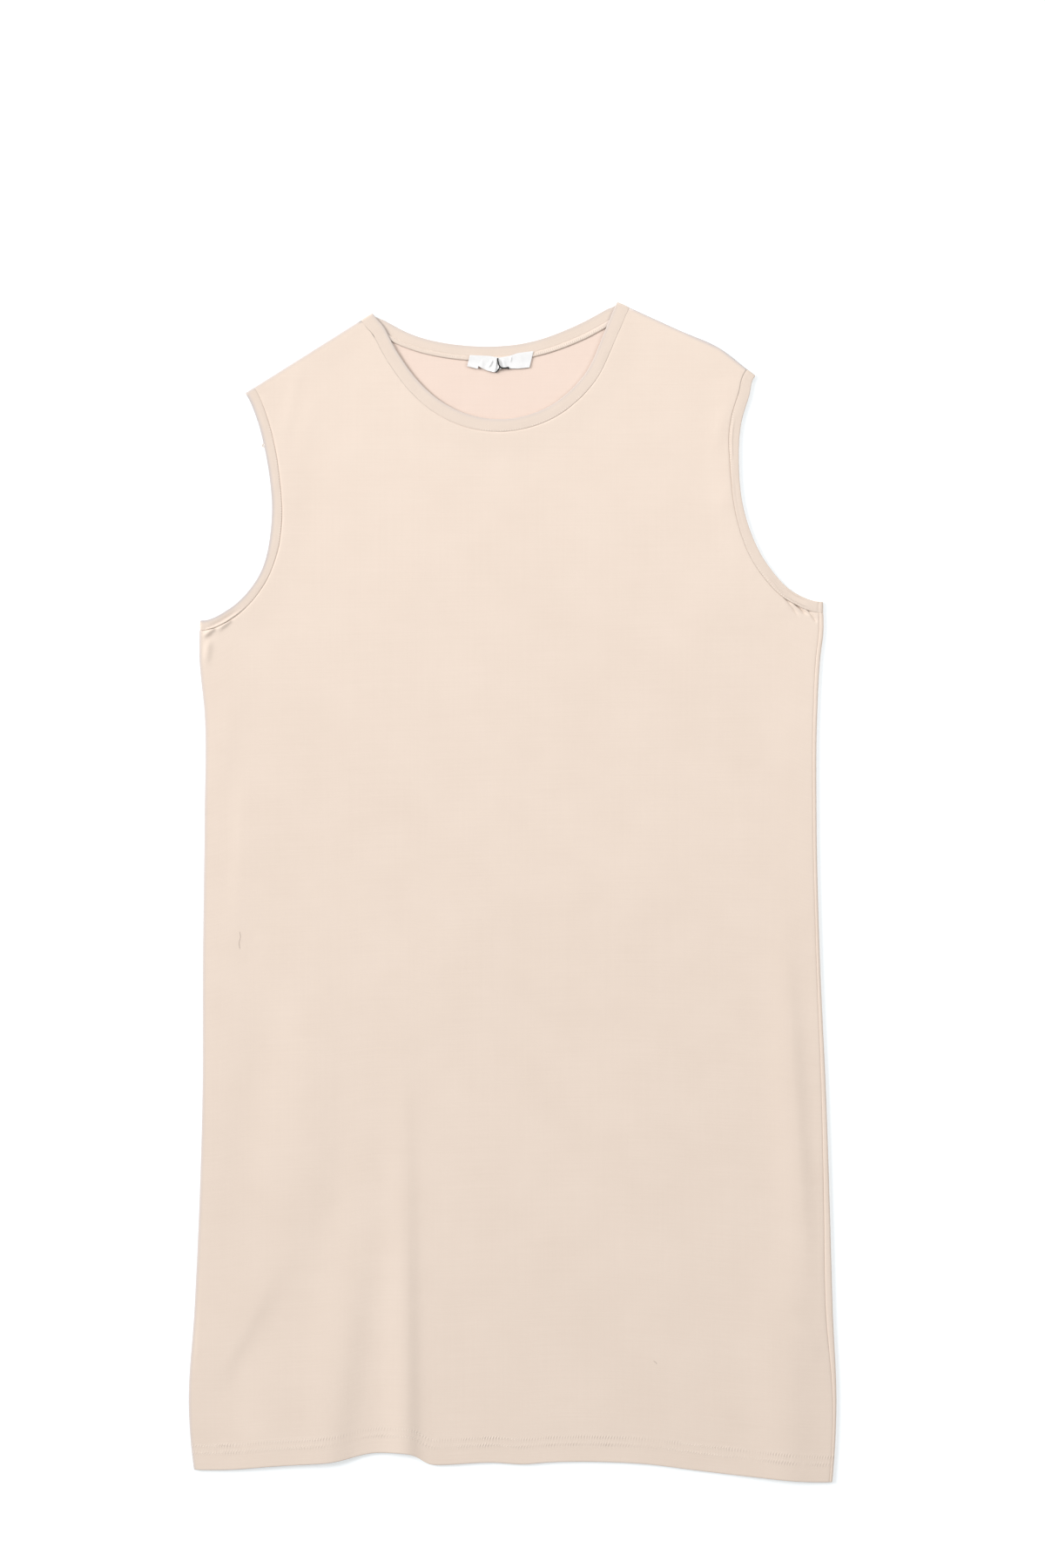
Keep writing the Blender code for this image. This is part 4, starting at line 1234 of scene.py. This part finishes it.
# Painted shade along the front's left fold and shoulders, the neck's free edges and the left armhole
# band.
paint_edge_shade(front, (np.column_stack((left_axis(heights) - REACH, heights)), *SHOULDERS))
paint_edge_shade(neckband, [line[::9] for line in necks], 0.45)
paint_edge_shade(armbands[0], (armholes[0][::9], SHOULDERS[0]))
print("Three jersey finishes made")

# %% [markdown]
# ## Threads, satin and floor
# Sewing thread is two plies twisted together, so it has fine slanting lines. The label's
# satin is smooth and white, with very fine ribs. The floor is a plain matt white table that
# glows faintly: painted light, which keeps the shadows on it light.


# %% Small finishes
def thread_finish(name, light, dark, roughness):
    """Slanting plies: a wave of x + y + z, and a little cloud."""
    finish = Finish(name, roughness, 0.1)
    place = finish.place()
    x, y, z = finish.parts(place)
    ply = ((x + y + z) / 0.0005).swing()
    share = 0.5 * ply + 0.5 * finish.noise(place, 400)
    return finish.done({"Base Color": finish.mix(share, light, dark),
                        "Normal": finish.bump(ply, 0.4, 0.00008)})


def satin_finish():
    """Fine ribs along the strip, with a faint cloud in the white."""
    finish = Finish("White label satin", 0.5, 0.15)
    rib = (finish.map_numbers("grain")[1] / 0.00022).swing()
    cloud = finish.noise(finish.place(), 160)
    colour = finish.mix(0.6 * cloud + 0.2 * rib, (0.76, 0.755, 0.75), (0.7, 0.695, 0.695))
    return finish.done({"Base Color": colour, "Roughness": 0.42 + 0.16 * cloud,
                        "Normal": finish.bump(rib + 2 * cloud, 0.3, 0.00006)})


def glowing_floor_finish():
    """Matt white with a barely seen cloud, and a faint glow: painted light that keeps its shadows
    light.
    """
    finish = Finish("Matt white glowing floor", 0.9)
    cloud = finish.noise(finish.place(), 3)
    colour = finish.mix(cloud, (0.6, 0.62, 0.64), (0.59, 0.61, 0.63))
    # Painted light: the floor glows, so the shadows on it stay light.
    return finish.done({"Base Color": colour, "Emission Color": (0.97, 1, 1),
                        "Emission Strength": 0.42})


beige_thread = thread_finish("Beige sewing thread", (0.87, 0.78, 0.69), (0.77, 0.67, 0.58), 0.75)
own_threads = {
    label_thread: thread_finish("Black thread", (0.016, 0.015, 0.015), (0.006, 0.006, 0.006), 0.6),
    lint: thread_finish("Brown lint", (0.2, 0.15, 0.12), (0.12, 0.09, 0.07), 0.9),
}
for piece in sum(carried.values(), []):
    piece.data.materials.append(own_threads.get(piece, beige_thread))
label.data.materials.append(satin_finish())
print("Threads, satin and lint have their finishes")

# %% [markdown]
# ## Floor, light and camera
# The garment lies on a white floor and is seen from straight above. A large soft light
# stands far to the left, so edges and ridges that face right have gentle shadows. A weaker
# one on the right, a wide one above the shoulders and even light all round fill them.

# %% Floor
HALF, FLOOR_Z = 4000, -0.28
SQUARE = ((-1, -1), (1, -1), (1, 1), (-1, 1))
floor = new_piece("floor", [(HALF * x, HALF * y, FLOOR_Z) for x, y in SQUARE], [(0, 1, 2, 3)])
floor.data.materials.append(glowing_floor_finish())
print("Floor laid", -FLOOR_Z, "mm under the garment")

# %% Light
LIGHTS = (  # name, place, aim, width and height, watts
    ("key_softbox", (-4.9, 1.8, 3.4), (0, 0, 0), (2.6, 2.6), 378),
    ("fill_softbox", (4.4, 0.8, 3.2), (0, 0, 0), (1.6, 1.6), 58),
    ("top_softbox", (0.4, 1.3, 1.4), (0, -0.1, 0), (2.4, 1.2), 13.8),
)
for name, place, aim, size, watts in LIGHTS:
    data = bpy.data.lights.new(name, "AREA")
    data.shape, data.energy = "RECTANGLE", watts
    data.size, data.size_y = size
    lamp = add_object(name, data)
    lamp.location = place
    lamp.rotation_euler = (Vector(aim) - Vector(place)).to_track_quat("-Z", "Y").to_euler()
world = bpy.data.worlds.new("even_light")
world.use_nodes = True
background = world.node_tree.nodes["Background"].inputs
background["Color"].default_value = (0.985, 0.995, 1, 1)
background["Strength"].default_value = 0.43
bpy.context.scene.world = world
bpy.context.scene.view_settings.view_transform = "Standard"
print(len(LIGHTS), "soft lights, the key", round(Vector(LIGHTS[0][1]).length, 2), "m away")

# %% Camera
camera_data = bpy.data.cameras.new("camera_above")
camera_data.sensor_width, camera_data.lens = 36, 70
camera = add_object("camera_above", camera_data)
camera.location = (0.00805, 0.08645, 2.45)
bpy.context.scene.camera = camera
print("Camera", round(camera.location[2], 2), "m above the floor")

# %% [markdown]
# ## What each piece stands for
# Every piece rides on the one body and takes the place of the plain solid it was made on.


# %% Pieces on the body
def ring_length(parts, away):
    """Length round a band, in metres."""
    return run_along(ring_line(parts, away))[-1] / 1000


SHEETS = (  # sheet, the node it stands for, slot, flat size in metres, how it lies and on what
    (front, "front_panel", "jersey_front", (0.516, 0.965), "laid", "jersey_back"),
    (back, "back_panel", "jersey_back", (0.516, 0.955), "laid", "floor"),
    (neckband, "neckband", "jersey_neckband", (ring_length(neck_ring, 5), 0.021), "folded",
     "jersey_back"),
    (armbands[0], "armhole_band_left", "jersey_armband", (ring_length(arm_rings[0], 4), 0.016),
     "folded", "jersey_back"),
    (armbands[1], "armhole_band_right", "jersey_armband", (ring_length(arm_rings[1], 4), 0.016),
     "folded", "jersey_back"),
    (label, "neck_label", "label_satin", (0.053, 0.0125), "laid", "jersey_neckband"),
)
for sheet, node, slot, flat, held, below in SHEETS:
    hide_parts(node)
    for piece in (sheet, *carried[sheet]):
        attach(piece, "root")
    carried[sheet]
print("All pieces ride on the body")
